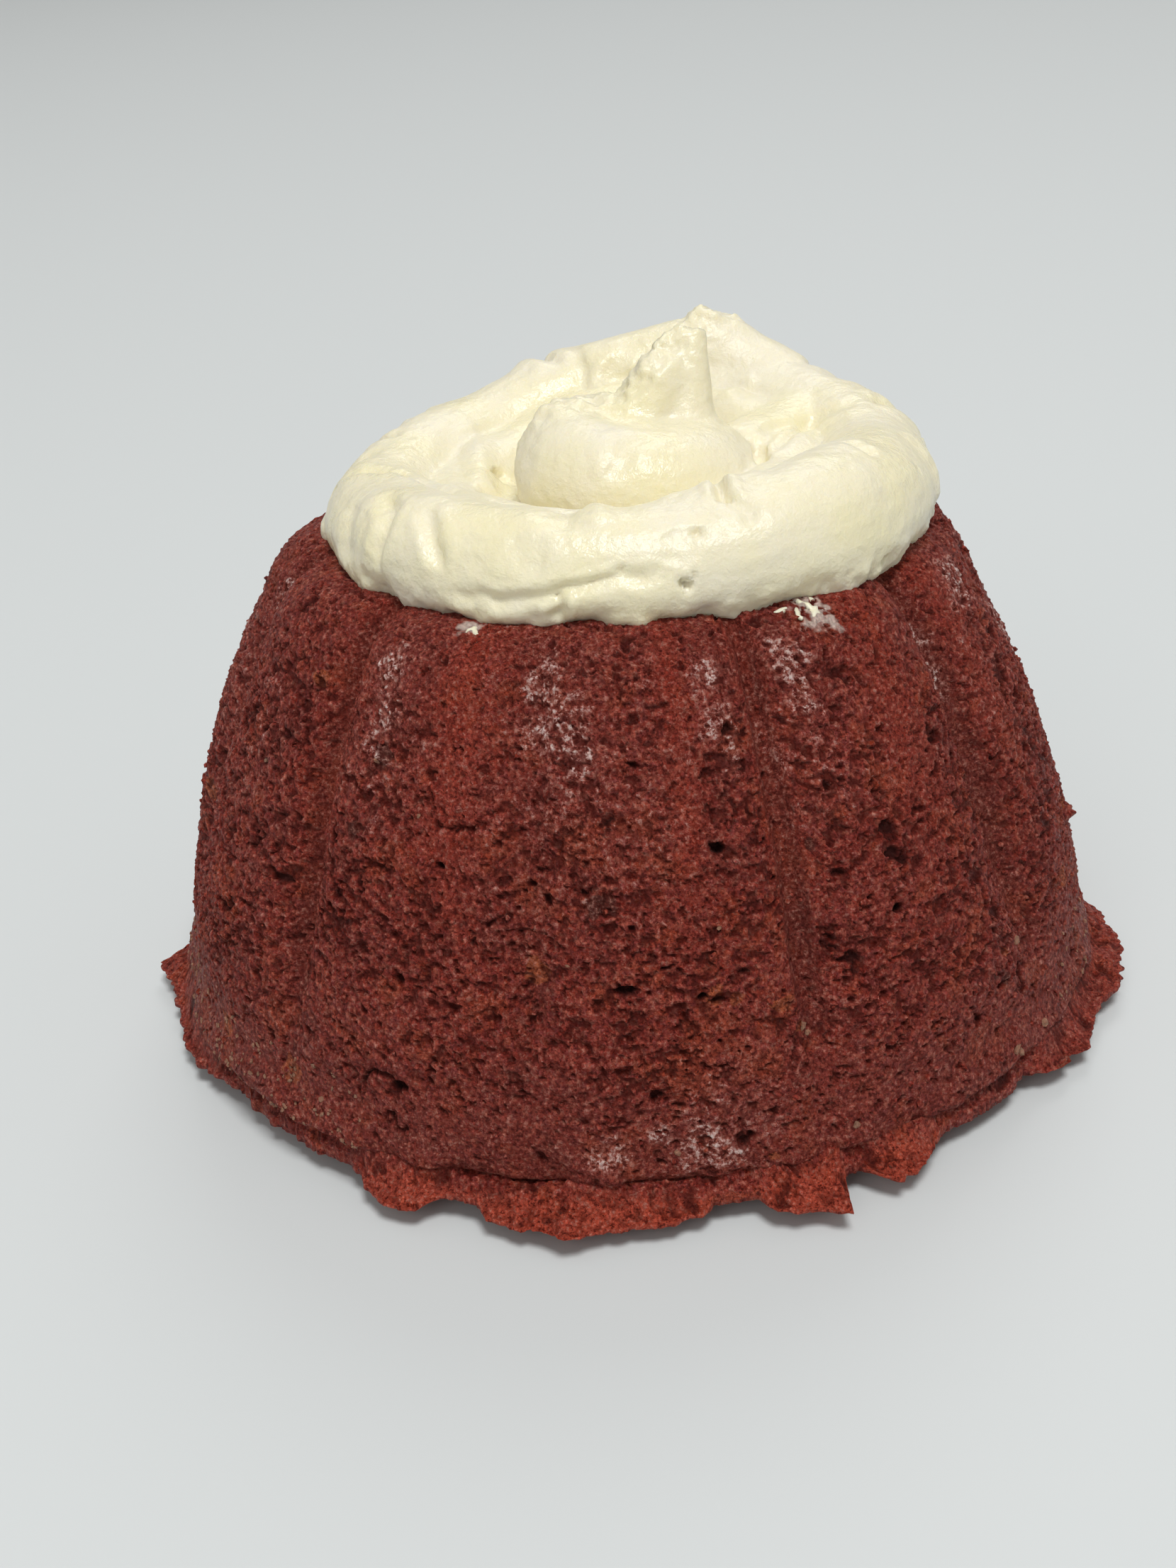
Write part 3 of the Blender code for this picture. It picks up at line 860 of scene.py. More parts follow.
# %% Ropes
def rope(shape, stations, closed=False):
    """Extrude a circle through stations (x, y, z, radius), turned to follow them."""
    places = [Vector(s[:3]) for s in stations]
    count = len(places)
    frames = []
    for i, station in enumerate(stations):
        before = places[i - 1] if i or closed else places[i]
        after = places[(i + 1) % count] if i + 1 < count or closed else places[i]
        along = (after - before).to_track_quat("Z", "Y").to_matrix().to_4x4()
        size = Matrix.Scale(station[3] * MM, 4)
        frames.append(Matrix.Translation(places[i] * MM) @ along @ size)
    start = bmesh.ops.create_circle(shape, segments=ROPE_SIDES, radius=1.0, matrix=frames[0])
    first = edges = list({edge for corner in start["verts"] for edge in corner.link_edges})
    for last, following in zip(frames, frames[1:]):
        made = bmesh.ops.extrude_edge_only(shape, edges=edges)["geom"]
        ring = {part for part in made if isinstance(part, bmesh.types.BMVert)}
        edges = [
            part for part in made
            if isinstance(part, bmesh.types.BMEdge) and ring.issuperset(part.verts)
        ]
        bmesh.ops.transform(shape, matrix=following @ last.inverted(), verts=list(ring))
    if closed:
        bmesh.ops.bridge_loops(shape, edges=first + edges)
    else:
        bmesh.ops.edgeloop_fill(shape, edges=first)
        bmesh.ops.edgeloop_fill(shape, edges=edges)


def smooth_path(keys, count):
    """Stations on a smooth curve through key stations of any number of values each."""
    keys = [np.array(key, dtype=float) for key in keys]
    keys = [2 * keys[0] - keys[1]] + keys + [2 * keys[-1] - keys[-2]]
    stations = []
    for place in np.linspace(0, len(keys) - 3 - 1e-6, count):
        k, t = int(place), place % 1
        a, b, c, d = keys[k:k + 4]
        bend = (2 * a - 5 * b + 4 * c - d) * t ** 2 + (3 * b - a - 3 * c + d) * t ** 3
        stations.append(tuple(b + 0.5 * ((c - a) * t + bend)))
    return stations


def ring_station(azimuth):
    """The outer ring's centre line and half thickness at this azimuth."""
    half = around(RING_THICKNESSES, azimuth) / 2
    x, y = on_ring(azimuth, around(RING_RADII, azimuth), RING_CENTRE)
    return x, y, around(RING_CRESTS, azimuth) - half, half


def coil_stations(count):
    """The middle coil, which winds in a little over one turn and leans to one side."""
    stations = []
    for share in np.linspace(0, 1, count):
        azimuth, radius = COIL_FROM - COIL_TURN * share, SWIRL_RADIUS * (1 - 0.2 * share)
        x, y = on_ring(azimuth, radius, SWIRL_CENTRE)
        top = SWIRL_TOP - SWIRL_TILT * (x - SWIRL_CENTRE[0]) / SWIRL_RADIUS
        stations.append((x, y, top - SWIRL_THICKNESS / 2, SWIRL_THICKNESS / 2))
    return stations


def pipe_the_ropes():
    """Every rope of the swirl in one bmesh, still crossing each other."""
    shape = bmesh.new()
    turn = np.arange(0.0, 360.0, 4.0)
    rope(shape, [ring_station(a) for a in turn], closed=True)
    foot_radii = around(RING_RADII, turn) - 0.4
    foot = [
        (*on_ring(a, radius, RING_CENTRE), CAKE_TOP + FOOT_RISE, FOOT_HALF)
        for a, radius in zip(turn, foot_radii)
    ]
    rope(shape, foot, closed=True)
    crests = around(INSIDE_CRESTS, turn)
    inside = [
        (*on_ring(a, INSIDE_RADIUS, RING_CENTRE), crest - INSIDE_HALF, INSIDE_HALF)
        for a, crest in zip(turn, crests)
    ]
    rope(shape, inside, closed=True)
    rope(shape, coil_stations(COIL_STATIONS))
    levels = (CAKE_TOP - 1.5, CAKE_TOP + 2.6)
    rope(shape, [(*RING_CENTRE, level, DRUM_RADIUS) for level in levels])
    for keys in LOOSE_ENDS:
        rope(shape, smooth_path(keys, PATH_STATIONS))
    bmesh.ops.recalc_face_normals(shape, faces=shape.faces)
    return shape


def melted(shape, name, voxel, easing):
    """The shape fused into one skin by a voxel Remesh and eased, as a new bmesh."""
    raw = object_from(shape, name)
    mesh = raw.data
    melt = raw.modifiers.new("melt", "REMESH")
    melt.mode = "VOXEL"
    melt.voxel_size = voxel * MM
    melt.use_smooth_shade = True
    ease = raw.modifiers.new("ease", "SMOOTH")
    ease.factor = 0.5
    ease.iterations = easing
    bpy.context.view_layer.update()
    graph = bpy.context.evaluated_depsgraph_get()
    fused = bmesh.new()
    fused.from_mesh(raw.evaluated_get(graph).to_mesh())
    bpy.data.objects.remove(raw)
    bpy.data.meshes.remove(mesh)
    return fused


frosting = piece_from(
    melted(pipe_the_ropes(), "ropes", FROSTING_VOXEL, FROSTING_EASE),
    "frosting_swirl", "frosting",
)
print("melted frosting", len(frosting.data.polygons), "faces")

# %% [markdown]
# ## Folds, tears and bubbles
#
# Smooth ropes look like plastic. Real frosting keeps the marks of how it was laid: pleats where
# the rope was pushed together at its start, a crease where one turn lies on the next, a torn
# ragged top where the nozzle left, and a few open air bubbles. A stroke is a line through a few
# points, along which the skin is pushed in or out. The ones listed here are marks that the
# camera sees, and a seeded rule adds pleats and bubbles round the back.

# %% Strokes
STROKES = [  # how far out (or in, below 0), half width, and the line
    # the three pleats where the ring was begun
    (-0.35, 1.2, ((-22.8, -7.7, 53.6), (-23.4, -9.7, 52.7), (-23.6, -11.2, 51.2),
     (-23.2, -12.5, 49.7))),
    (-0.65, 0.8, ((-19.7, -10.4, 55), (-19.2, -14.5, 54.7), (-19.8, -16.3, 53.4),
     (-20.9, -16.6, 50))),
    (-0.6, 0.65, ((-15.7, -16.6, 55.6), (-15.5, -19.8, 54.3), (-15, -21.1, 53.2),
     (-14.8, -22.3, 51.4))),
    # the edge of the inner turn behind them
    (-0.5, 0.7, ((-24.4, 0.9, 53.1), (-22, -0.5, 54), (-18.6, -3.2, 54.4), (-15.6, -8.2, 54.6),
     (-12.7, -15.6, 55.6))),
    # the crease low on the front, and the lower lap that bulges under it
    (-0.5, 0.5, ((-14.2, -22.9, 50), (-10.3, -25.1, 50), (-7.9, -25.9, 50.3), (-4.4, -26.8, 51),
     (-0.4, -27.1, 51.7), (5, -27.1, 52.2))),
    (0.3, 1.2, ((-13, -23.5, 48.6), (-8, -26, 48.8), (-1, -27.2, 49.6), (5, -27.2, 50.2))),
    (-0.9, 0.55, ((-5.6, -26.9, 50.6), (-5.3, -26.9, 49.8), (-5.5, -26.5, 48.3))),
    # the torn notch in the front crest, its tail, and the dip beside it
    (-1.3, 0.55, ((8.7, -17.6, 56.4), (8.9, -19.9, 56.6), (9, -22.4, 56.2))),
    (-0.45, 0.7, ((9, -22.1, 56.3), (9.8, -23, 56.1), (10.7, -23.8, 55.7), (11.6, -24.4, 55.1))),
    (-0.55, 1.4, ((-4, -18.5, 55.6), (-4.2, -22, 56.3), (-4.6, -24.6, 55.2))),
    (0.35, 1.2, ((-1.6, -18.5, 56), (-1.4, -21.5, 56.6), (-1.2, -24, 55.8))),
    (0.6, 1.8, ((3, -18.6, 56.2), (8, -18.4, 57), (13.5, -17, 57.5))),
    # folds between the middle swirl and the ring, on the right
    (-0.9, 0.6, ((13.7, -0.7, 53.5), (13.9, -2.6, 53.3), (14.3, -5.1, 53.8))),
    (-0.5, 0.6, ((20, 4.9, 54.4), (18.3, 1.7, 54.4), (16.4, -1.3, 54.4), (14.5, -4.1, 53.8))),
    (-0.35, 0.8, ((13.9, 0.8, 54.7), (17.1, 2.8, 54.5), (20.6, 4.3, 54.7), (24.6, 3.9, 55.9))),
    (0.35, 0.8, ((11.7, 9.8, 55.3), (13.8, 13.5, 55.2), (15.7, 14.3, 56.3))),
    (-0.4, 0.6, ((20.3, -10.9, 57.1), (21.4, -12.7, 57.1), (22.6, -13.9, 56.6))),
    # the hollow on the left of the swirl and the slack folds that run down into it
    (-1.2, 1.4, ((-10.9, -1.1, 51.8), (-10.6, -5, 51.8), (-10, -9, 52))),
    (0.35, 1.2, ((-13.5, 12.2, 54.3), (-12.7, 10.9, 53.2), (-12.1, 5.8, 52.9), (-11.6, -3, 52.2))),
    (-0.3, 1, ((-14.5, 8.3, 52.7), (-13.3, 1.5, 52.6), (-12.6, -3.6, 52.5))),
    # short runs down the inside of the back of the ring
    (0.5, 0.7, ((0.7, 19.5, 57.5), (0.1, 18.2, 56.3), (-0.4, 16.5, 55.5))),
    (-0.5, 0.6, ((2.3, 21.3, 58.3), (2, 19.4, 57.3), (1.5, 17.6, 56.2))),
    (0.45, 0.6, ((4.4, 20.8, 58.5), (3.8, 18.8, 57.5), (3.2, 17.2, 56.4))),
    # where the peak stands on the swirl
    (-0.55, 0.6, ((6.2, 2.2, 62.6), (5.2, 1.4, 60.4), (5, 0.8, 58.4), (5.6, -0.4, 56.4))),
    (0.4, 0.7, ((2.6, 1, 60), (3.4, 0.4, 58.6), (3.6, -0.4, 57.4))),
    (-0.3, 0.9, ((4, -6.7, 57.3), (1.7, -8.4, 57.3), (0.8, -10, 56.3), (0.4, -11.1, 54.7))),
    (-0.4, 0.7, ((10.3, -1, 57), (12.4, 0.5, 56), (13.5, 0.1, 54.6))),
    # soft dents along the front
    (-0.28, 1.5, ((4.5, -24.7, 54.9), (5, -26.1, 53.9), (4.3, -27.1, 52.5))),
    (-0.25, 1.3, ((-8.8, -23.5, 54.6), (-7.7, -24.7, 53.7), (-6, -25.7, 53))),
]
BUBBLES = [  # place, radius, depth
    ((6.4, -25.2, 54.8), 0.5, 0.7),
    ((5.3, -27.4, 50.9), 0.6, 1.3),
    ((5.9, -27.2, 51.7), 0.35, 0.5),
    ((-10, 3.3, 51.5), 0.8, 0.8),
    ((3.7, 20.6, 58), 0.4, 0.5),
    ((26.9, -10.9, 53.9), 0.4, 0.4),
    ((0.1, -26.7, 52.6), 0.35, 0.4),
    ((22.7, -18.7, 48.7), 0.5, 0.6),
]
print(len(STROKES), "strokes and", len(BUBBLES), "bubbles in front")

# %% Marks on the unseen side
UNSEEN_FOLDS, UNSEEN_BUBBLES = 11, 8
FOLDS_FROM, BUBBLES_FROM, RING_SPAN = 72, 75, 200  # azimuths, and how far both go on from there


def on_rope(azimuth, rise):
    """A point on the outer ring's skin, at an angle up round the rope."""
    x, y, z, half = ring_station(azimuth)
    out = half * math.cos(math.radians(rise))
    dx, dy = on_ring(azimuth, out)
    return x + dx, y + dy, z + half * math.sin(math.radians(rise))


def mark_the_back():
    """Pleats and bubbles round the unseen side, drawn by a seeded rule."""
    draw = random.Random(41)
    for i in range(UNSEEN_FOLDS):
        azimuth = FOLDS_FROM + RING_SPAN * (i + draw.uniform(0.1, 0.9)) / UNSEEN_FOLDS
        lean, top = draw.uniform(-8, 8), draw.uniform(60, 120)
        line = [on_rope(azimuth + lean * t, top - (top + 10) * t) for t in (0, 0.35, 0.7, 1)]
        STROKES.append((draw.choice((-0.75, -0.5, -0.4, 0.35)), draw.uniform(0.6, 1.3), line))
    for i in range(UNSEEN_BUBBLES):
        azimuth = BUBBLES_FROM + RING_SPAN * (i + draw.random()) / UNSEEN_BUBBLES
        radius = draw.uniform(0.35, 0.7)
        BUBBLES.append((on_rope(azimuth, draw.uniform(0, 80)), radius, 1.1 * radius))


mark_the_back()
print(len(STROKES), "strokes and", len(BUBBLES), "bubbles in all")

# %% Frosting rule
SLACK = ((0.26, 6.0, 301), (0.07, 2.6, 302))  # height, size, seed
STROKE_WANDER = 0.35
TORN = (  # rope, full and no tearing this far from it, most, and how calm its end is
    (RIDGE, 1.5, 3.8, 1.0, 0.6), (NUB_TIP, 2.4, 4.2, 0.6, 0.0), (SHRED, 1.0, 2.4, 0.8, 0.0),
)


def stroke_push(place):
    """How far the strokes push each place out, each fading towards its ends."""
    out = np.zeros(len(place))
    wander = np.stack([grain(place, 1.6, 311 + i) for i in range(3)], axis=1)
    wander = place + STROKE_WANDER * wander
    for depth, width, line in STROKES:
        away, share = to_line(wander, line)
        fade = smooth(-0.02, 0.18, share) * (1 - smooth(0.82, 1.02, share))
        out += depth * fade * (bell(away, width) - 0.25 * bell(away - 2.1 * width, width))
    return out


def torn_share(place):
    """How torn the skin is: most along the ridge, the folded tip and the shred."""
    torn = np.zeros(len(place))
    for stations, near, far, most, calm in TORN:
        away, share = to_line(place, [station[:3] for station in stations])
        here = most * (1 - smooth(near, far, away)) * (1 - calm * smooth(0.8, 1, share))
        torn = np.maximum(torn, here)
    return torn


def frosting_rule(place, normals):
    """Press the strokes and bubbles in, and tear the ridge and the lower edge."""
    out = sum(height * grain(place, size, seed) for height, size, seed in SLACK)
    out += 0.05 * rough(place, 1.0, 303)
    out += stroke_push(place)
    for spot, radius, depth in BUBBLES:
        away = np.linalg.norm(place - np.array(spot), axis=1)
        away = away * (1 + 0.7 * rough(place, 0.9, 305, 2))
        out -= depth * np.sqrt(np.clip(1 - (away / radius) ** 2, 0, 1))
    tears = 1.05 * rough(place, 1.4, 321) + 0.25 * rough(place, 0.7, 323) + 0.15
    out += torn_share(place) * tears
    x, y = place[:, 0] - RING_CENTRE[0], place[:, 1] - RING_CENTRE[1]
    outside = smooth(17, 20, np.hypot(x, y))
    low = outside * (1 - smooth(CAKE_TOP + 0.2, CAKE_TOP + 2.6, place[:, 2]))
    out += low * (0.9 * rough(place, 3.4, 331, 2) + 0.4 * rough(place, 1.4, 335, 3))
    return place + normals * out[:, None], {}


move_corners(frosting, frosting_rule)
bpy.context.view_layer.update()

# %% [markdown]
# ## Crumbs, flakes and smears
#
# Loose crumbs cling to the wall, dry flakes of the baked edge gather near the foot, and a few
# light grains of unmixed flour show in the crumb. They are small balls with few faces, squashed
# and turned at random and sunk into the skin, which a ray finds for each. Where the frosting
# touched the wall beside the ring it left thin smears. These are short ropes laid on the skin
# and melted together like the ring itself, over the pale film that is marked on the wall.

# %% Places on the skin
bpy.context.view_layer.update()


def on_skin(start, aim):
    """Where a ray from start towards aim meets the body, and the skin's direction there."""
    start, aim = Vector(start) * MM, Vector(aim) * MM
    hits = []
    for wedge in body:
        found, place, normal, _ = wedge.ray_cast(start, (aim - start).normalized())
        if found:
            hits.append(((place - start).length, place / MM, normal))
    return min(hits, key=lambda hit: hit[0])[1:]


def beside_wall(azimuth, z):
    """Where the wall's skin is at an azimuth and a height."""
    return on_skin((*on_ring(azimuth, 70.0), z), (0.0, 0.0, z))


print("the wall is", round(beside_wall(0, 20)[0].length, 1), "mm from the middle at 20 mm up")

# %% Crumbs and flakes
CRUMB_COUNT = 900
LIGHT_GRAINS = (  # azimuth, z, size
    (-36, 38, 0.3), (-31.2, 28, 0.2), (-28.5, 34.5, 0.2), (50.5, 15.2, 0.45), (8.5, 26.2, 0.2),
    (17.4, 16.2, 0.4), (17.9, 15.6, 0.3), (46, 6.4, 0.5), (46.6, 6, 0.4), (53, 6.2, 0.45),
    (-9, 24, 0.2), (22, 7, 0.4), (2, 7.4, 0.3), (-59, 34, 0.3), (100, 18, 0.4),
    (131, 30, 0.3), (168, 12, 0.4), (-162, 26, 0.3), (-120, 20, 0.35),
)
FLAKE_PLACES = (  # first and last azimuth, how many, lowest and highest z
    (-95, -34, 170, 5.0, 11), (58, 78, 24, 6, 12), (110, 240, 120, 5.2, 13),
)


def scattered(name, spots, flatness, seed):
    """One piece of many small squashed balls, each (place, direction, size)."""
    draw = random.Random(seed)
    shape = bmesh.new()
    for place, direction, size in spots:
        turn = direction.to_track_quat("Z", "Y").to_matrix().to_4x4()
        spin = Matrix.Rotation(draw.uniform(0, 2 * math.pi), 4, "Z")
        squash = Matrix.Diagonal(
            (size * draw.uniform(0.8, 1.5), size * draw.uniform(0.6, 1.1), size * flatness, 1)
        )
        ball = bmesh.ops.create_icosphere(
            shape, subdivisions=1, radius=MM,
            matrix=Matrix.Translation((place + direction * size * flatness * 0.3) * MM)
            @ turn @ spin @ squash,
        )
        for corner in ball["verts"]:
            jog = Vector([draw.uniform(-1, 1) for _ in range(3)])
            corner.co += jog * 0.22 * size * MM
    return piece_from(shape, name, "cake")


def crumb_spots():
    """Places all over the wall, more of them low down."""
    draw = random.Random(61)
    spots = []
    for _ in range(CRUMB_COUNT):
        z = 6.5 + 38 * draw.random() ** 1.3
        place, direction = beside_wall(draw.uniform(0, 360), z)
        spots.append((place, direction, draw.uniform(0.14, 0.34)))
    return spots


def flake_spots():
    """The light grains where they are seen, and flakes drawn near the foot."""
    draw = random.Random(67)
    spots = []
    for azimuth, z, size in LIGHT_GRAINS:
        place, direction = beside_wall(azimuth, z)
        spots.append((place, direction, size))
    for first, last, count, low, high in FLAKE_PLACES:
        for _ in range(count):
            z = low + (high - low) * draw.random() ** 2
            place, direction = beside_wall(draw.uniform(first, last), z)
            spots.append((place, direction, draw.uniform(0.12, 0.3)))
    return spots


crumbs = scattered("cake_crumbs", crumb_spots(), flatness=0.8, seed=71)
flakes = scattered("cake_flakes", flake_spots(), flatness=0.5, seed=73)
move_corners(flakes, lambda place, normals: (place, {"flake": np.ones(len(place))}))
print("crumbs", len(crumbs.data.polygons), "faces, flakes", len(flakes.data.polygons), "faces")

# %% Smears
STRAND_HALVES = (0.22, 0.36, 0.32, 0.22)
SMEAR_VOXEL, SMEAR_EASE = 0.13, 2


def smear_strands():
    """Short thin ropes that wander over the skin beside the ring."""
    draw = random.Random(83)
    shape = bmesh.new()
    for x, y, spread, count in SMEARS:
        for _ in range(count):
            at = Vector((x + draw.gauss(0, spread / 3), y + draw.gauss(0, spread / 3)))
            step = Vector((draw.uniform(-0.6, 0.6), draw.uniform(-0.6, 0.6)))
            stations = []
            for half in STRAND_HALVES:
                place, direction = on_skin((at.x, at.y, 70.0), (at.x, at.y, 0.0))
                half = half * draw.uniform(0.7, 1.1)
                stations.append((*(place - 0.7 * half * direction), half))
                at += step
                step.rotate(Matrix.Rotation(draw.uniform(-0.8, 0.8), 2))
            rope(shape, stations)
    bmesh.ops.recalc_face_normals(shape, faces=shape.faces)
    return shape


smears = piece_from(
    melted(smear_strands(), "strands", SMEAR_VOXEL, SMEAR_EASE),
    "frosting_smears", "frosting",
)
print("smears", len(smears.data.polygons), "faces")

# %% [markdown]
# ## Finishes
#
# One function turns a hex colour to Blender's linear values, and one adds a node. Patterns read
# Object coordinates, which are metres, so a pattern whose features are s millimetres across
# has a scale of 1000 / s.


# %% Material tools
def colour(code):
    """An sRGB hex code as the linear colour that Blender works in."""
    values = [int(code[i:i + 2], 16) / 255 for i in (1, 3, 5)]
    linear = [v / 12.92 if v <= 0.04045 else ((v + 0.055) / 1.055) ** 2.4 for v in values]
    return (*linear, 1.0)


def add_node(tree, kind, links=None, **settings):
    """Add a node, set its properties, and link or set the inputs that links names."""
    made = tree.nodes.new(kind)
    for name, value in settings.items():
        setattr(made, name, value)
    for socket, value in (links or {}).items():
        if isinstance(value, bpy.types.NodeSocket):
            tree.links.new(value, made.inputs[socket])
        else:
            made.inputs[socket].default_value = value
    return made


def new_material(name):
    """A material with only a Principled shader and an output, and its tree."""
    material = bpy.data.materials.new(name)
    material.use_nodes = True
    return material, material.node_tree, material.node_tree.nodes["Principled BSDF"]


def per_metre(size_mm):
    """The scale of a pattern whose features are this many millimetres across."""
    return 1000.0 / size_mm


print("material tools ready")

# %% [markdown]
# ### Red velvet crumb
#
# Cocoa and red colouring make a brick red. The shade in each open cell and in the gaps between
# grains is painted into the colour as darker brown, and the grooves' floors are painted darker as
# shade too. The crumb is moist, so each grain has a weak, broken shine and light goes a little way
# into it; a pinker sheen, light glints and lighter grain tops are also painted into the colour as
# painted highlights. Where the tin pressed it, the skin is smoother and greyer, and the thin lip
# of the skirt is a lighter and more orange red, painted stronger towards the lit front. The marks
# on the mesh say where each of these lies. The colour is built as layers: each mixes one more
# colour in where a pattern or a mark lies between two values. The grains are drawn a little
# coarser than real ones, so that they show in the render.

# %% Crumb material
GRIT_PATTERN, GRAIN_PATTERN, CLOUD_PATTERN = 0.42, 0.34, 4.5  # feature sizes in millimetres
GRAIN_DRIFT, CRUMB_BUMP = 0.0009, 0.0006  # metres
GRAIN_TONES = (
    (0.0, "#8a2a1f"), (0.3, "#a64234"), (0.55, "#943f3c"), (0.75, "#b24d3f"), (1.0, "#c06552")
)
CRUMB_MARKS = (
    "relief", "skin", "groove", "band", "painted_sheen", "pale", "dark", "smear", "lip", "flake"
)
CRUMB_LAYERS = (  # driven by, from, to, most share, colour
    ("clouds", 0.53, 0.61, 0.45, "#bb5531"),
    ("clouds", 0.46, 0.36, 0.45, "#733a33"),
    ("band", 0.0, 1.0, 0.5, "#aa3d28"),
    ("skin", 0.0, 1.0, 0.4, "#763b32"),
    # painted shade: the grooves' floors are darkened, over the own tone of their pressed skin
    ("groove", 0.1, 1.0, 0.45, "#6b342b"),
    # the lip's own lighter orange, made stronger towards the front by the lip mark as painted
    # light
    ("lip", 0.0, 1.0, 0.7, "#d35a40"),
    # painted highlight: a pinker sheen on the shining patches
    ("painted_sheen", 0.0, 0.9, 0.25, "#bf7364"),
    ("pale", 0.35, 0.55, 0.7, "#c46a42"),
    ("dark", 0.2, 0.7, 0.75, "#49332c"),
    # painted shade where the fine noise is low and the bump sinks, painted highlight where it is
    # high
    ("grit", 0.48, 0.40, 0.85, "#460e08"),
    ("grit", 0.54, 0.65, 0.7, "#d69380"),
    # painted shade in the gaps between grains
    ("gaps", 0.35, 0.65, 0.4, "#591409"),
    # painted glints on the grain tops
    ("painted_glint", 0.25, 0.75, 0.5, "#d39c8f"),
    ("painted_glint", 0.55, 1.25, 0.9, "#f4ddd6"),
    ("film", 0.2, 0.65, 0.85, "#e3cdc1"),
    # painted shade, darker the deeper the crumb is carved
    ("relief", -0.02, -0.32, 0.75, "#4a1009"),
    ("relief", -0.32, -0.7, 0.85, "#210907"),
    ("flake", 0.0, 1.0, 0.6, "#b59478"),
)


def crumb_material():
    """Grains in five tones, the layers over them with painted shade and painted glints among them,
    and a bump and a gloss that differ by grain.
    """
    material, tree, shader = new_material("baked_red_velvet_crumb")
    where = add_node(tree, "ShaderNodeTexCoord").outputs["Object"]
    fine = add_node(tree, "ShaderNodeTexNoise", {
        "Vector": where, "Scale": per_metre(GRIT_PATTERN), "Detail": 5.0, "Roughness": 0.75,
    })
    clouds = add_node(tree, "ShaderNodeTexNoise", {
        "Vector": where, "Scale": per_metre(CLOUD_PATTERN), "Detail": 5.0, "Roughness": 0.66,
    }).outputs["Fac"]
    drift = add_node(tree, "ShaderNodeVectorMath", {
        0: fine.outputs["Color"], "Scale": GRAIN_DRIFT,
    }, operation="SCALE")
    warped = add_node(tree, "ShaderNodeVectorMath", {0: where, 1: drift.outputs["Vector"]})
    grains = add_node(tree, "ShaderNodeTexVoronoi", {
        "Vector": warped.outputs["Vector"], "Scale": per_metre(GRAIN_PATTERN), "Randomness": 1.0,
    })
    draw = add_node(tree, "ShaderNodeSeparateColor", {"Color": grains.outputs["Color"]})
    marks = {
        name: add_node(tree, "ShaderNodeAttribute", attribute_name=name).outputs["Fac"]
        for name in CRUMB_MARKS
    }
    ramp = add_node(tree, "ShaderNodeValToRGB", {"Fac": draw.outputs["Red"]})
    while len(ramp.color_ramp.elements) < len(GRAIN_TONES):
        ramp.color_ramp.elements.new(0.5)
    for element, (position, code) in zip(ramp.color_ramp.elements, GRAIN_TONES):
        element.position = position
        element.color = colour(code)

    tops = add_node(tree, "ShaderNodeMapRange", {
        "Value": marks["relief"], "From Min": -0.2, "From Max": 0.04,
    }).outputs["Result"]
    speck = add_node(tree, "ShaderNodeMapRange", {
        "Value": fine.outputs["Fac"], "From Min": 0.42, "From Max": 0.57,
    }).outputs["Result"]
    # painted glints: light specks on the grain tops, most in the sheen patches
    painted_glint = add_node(tree, "ShaderNodeMath", {
        0: draw.outputs["Blue"], 1: 0.5, 2: marks["painted_sheen"],
    }, operation="MULTIPLY_ADD")
    painted_glint = add_node(tree, "ShaderNodeMath", {0: painted_glint.outputs[0], 1: tops}, operation="MULTIPLY")
    painted_glint = add_node(tree, "ShaderNodeMath", {0: painted_glint.outputs[0], 1: speck}, operation="MULTIPLY")
    film = add_node(tree, "ShaderNodeMath", {0: marks["smear"], 1: tops}, operation="MULTIPLY")
    drivers = marks | {
        "clouds": clouds, "grit": fine.outputs["Fac"], "gaps": grains.outputs["Distance"],
        "painted_glint": painted_glint.outputs[0], "film": film.outputs[0],
    }
    tone = ramp.outputs["Color"]
    for driver, low, high, most, code in CRUMB_LAYERS:
        share = add_node(tree, "ShaderNodeMapRange", {
            "Value": drivers[driver], "From Min": low, "From Max": high, "To Max": most,
        }).outputs["Result"]
        tone = add_node(tree, "ShaderNodeMix", {
            0: share, 6: tone, 7: colour(code),
        }, data_type="RGBA").outputs[2]

    height = add_node(tree, "ShaderNodeMath", {
        0: drivers["gaps"], 1: -0.25, 2: drivers["grit"],
    }, operation="MULTIPLY_ADD")
    bump = add_node(tree, "ShaderNodeBump", {
        "Height": height.outputs[0], "Distance": CRUMB_BUMP, "Strength": 1.0,
    })
    gloss = add_node(tree, "ShaderNodeMapRange", {
        "Value": draw.outputs["Green"], "From Min": 0.5, "From Max": 0.95,
        "To Min": 0.6, "To Max": 0.2,
    })
    tree.links.new(tone, shader.inputs["Base Color"])
    tree.links.new(bump.outputs["Normal"], shader.inputs["Normal"])
    tree.links.new(gloss.outputs["Result"], shader.inputs["Roughness"])
    shader.inputs["Specular IOR Level"].default_value = 0.16
    shader.inputs["Subsurface Weight"].default_value = 0.15
    shader.inputs["Subsurface Radius"].default_value = (1.0, 0.3, 0.2)
    shader.inputs["Subsurface Scale"].default_value = 0.0008
    return material


crumb_finish = crumb_material()
for piece in (*body, skirt, crumbs, flakes):
    piece.data.materials.append(crumb_finish)
print("finish", crumb_finish.name)

# %% [markdown]
# ### Cream cheese frosting
#
# Butter, sugar and soft cheese: an ivory paste that light enters about a millimetre deep, which
# softens every shadow on it, with a wet shine where it was smoothed by the nozzle. Fine air in
# the paste breaks that shine up into small glints.

# %% Frosting material
PASTE_CLOUDS, PASTE_AIR = 9.0, 1.3  # feature sizes in millimetres
PASTE_TONES = ("#ebe3be", "#e9e2ca")
PASTE_BUMP = 0.00035  # metres


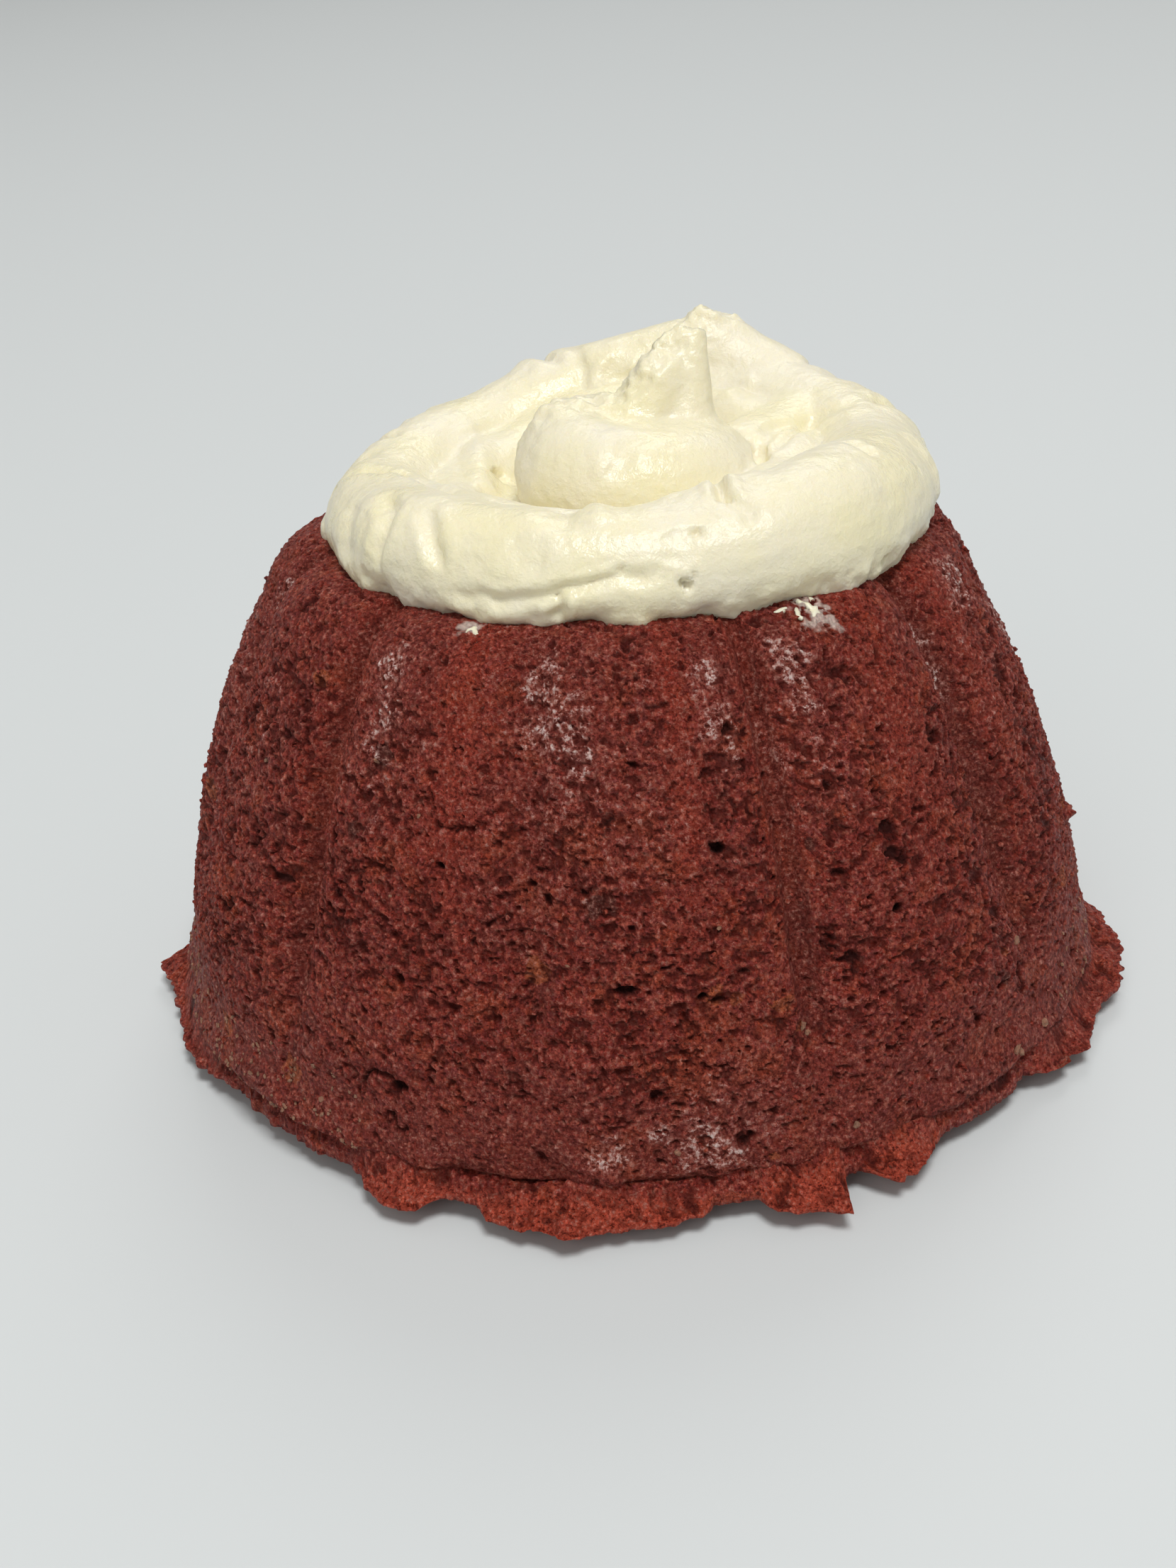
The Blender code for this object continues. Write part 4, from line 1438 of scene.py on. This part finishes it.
def frosting_material():
    """Two close tones of ivory in clouds, each with its own gloss, and a fine bump."""
    material, tree, shader = new_material("piped_cream_cheese_frosting")
    where = add_node(tree, "ShaderNodeTexCoord").outputs["Object"]
    clouds = add_node(tree, "ShaderNodeTexNoise", {
        "Vector": where, "Scale": per_metre(PASTE_CLOUDS), "Detail": 3.0, "Roughness": 0.5,
    }).outputs["Fac"]
    share = add_node(tree, "ShaderNodeMapRange", {
        "Value": clouds, "From Min": 0.35, "From Max": 0.65,
    }).outputs["Result"]
    tone = add_node(tree, "ShaderNodeMix", {
        0: share, 6: colour(PASTE_TONES[0]), 7: colour(PASTE_TONES[1]),
    }, data_type="RGBA")
    fine = add_node(tree, "ShaderNodeTexNoise", {
        "Vector": where, "Scale": per_metre(PASTE_AIR), "Detail": 4.0, "Roughness": 0.6,
    })
    bump = add_node(tree, "ShaderNodeBump", {
        "Height": fine.outputs["Fac"], "Distance": PASTE_BUMP, "Strength": 0.7,
    })
    wet = add_node(tree, "ShaderNodeMapRange", {
        "Value": clouds, "From Min": 0.35, "From Max": 0.65, "To Min": 0.24, "To Max": 0.4,
    })
    tree.links.new(tone.outputs[2], shader.inputs["Base Color"])
    tree.links.new(bump.outputs["Normal"], shader.inputs["Normal"])
    tree.links.new(wet.outputs["Result"], shader.inputs["Roughness"])
    shader.inputs["Subsurface Weight"].default_value = 0.3
    shader.inputs["Subsurface Radius"].default_value = (0.9, 0.75, 0.4)
    shader.inputs["Subsurface Scale"].default_value = 0.0015
    return material


frosting_finish = frosting_material()
for piece in (frosting, smears):
    piece.data.materials.append(frosting_finish)
print("finish", frosting_finish.name)

# %% [markdown]
# ## Table and light
#
# A pale matt floor, and soft light as in a kitchen by a window: a large lamp high in front and a
# little to the right, a weak one low at the left front, and one behind that only lights the
# floor there. The world's even grey fills the shadows.

# %% Floor and lights
FLOOR_HALF = 2.0
ROOM_GREY, ROOM_STRENGTH = (1.0, 0.99, 0.97, 1.0), 0.36
LAMPS = (  # name, place, what it is aimed at, how wide it is, all in metres, and watts
    ("key", (0.2, -0.75, 1.87), (0, 0, 0.03), 0.7, 27.0),
    ("front", (-0.8, -1.6, 1.2), (0, 0, 0.03), 1.0, 5.0),
    ("back", (0.3, 1.4, 1.6), (0, 0.8, 0.0), 1.0, 7.0),
)

floor_shape = bmesh.new()
bmesh.ops.create_grid(floor_shape, x_segments=1, y_segments=1, size=FLOOR_HALF)
floor = object_from(floor_shape, "floor")

floor_finish, _, floor_shader = new_material("matt_pale_floor")
floor_shader.inputs["Base Color"].default_value = colour("#cfd3d3")
floor_shader.inputs["Roughness"].default_value = 0.6
floor.data.materials.append(floor_finish)

for name, place, aim, size, power in LAMPS:
    light = bpy.data.lights.new(name, "AREA")
    light.shape = "DISK"
    light.size = size
    light.energy = power
    lamp = add_object(name, light)
    lamp.location = place
    lamp.rotation_mode = "QUATERNION"
    lamp.rotation_quaternion = (Vector(aim) - Vector(place)).to_track_quat("-Z", "Y")

world = bpy.data.worlds.new("room")
world.use_nodes = True
world.node_tree.nodes["Background"].inputs["Color"].default_value = ROOM_GREY
world.node_tree.nodes["Background"].inputs["Strength"].default_value = ROOM_STRENGTH
bpy.context.scene.world = world
print("lights set")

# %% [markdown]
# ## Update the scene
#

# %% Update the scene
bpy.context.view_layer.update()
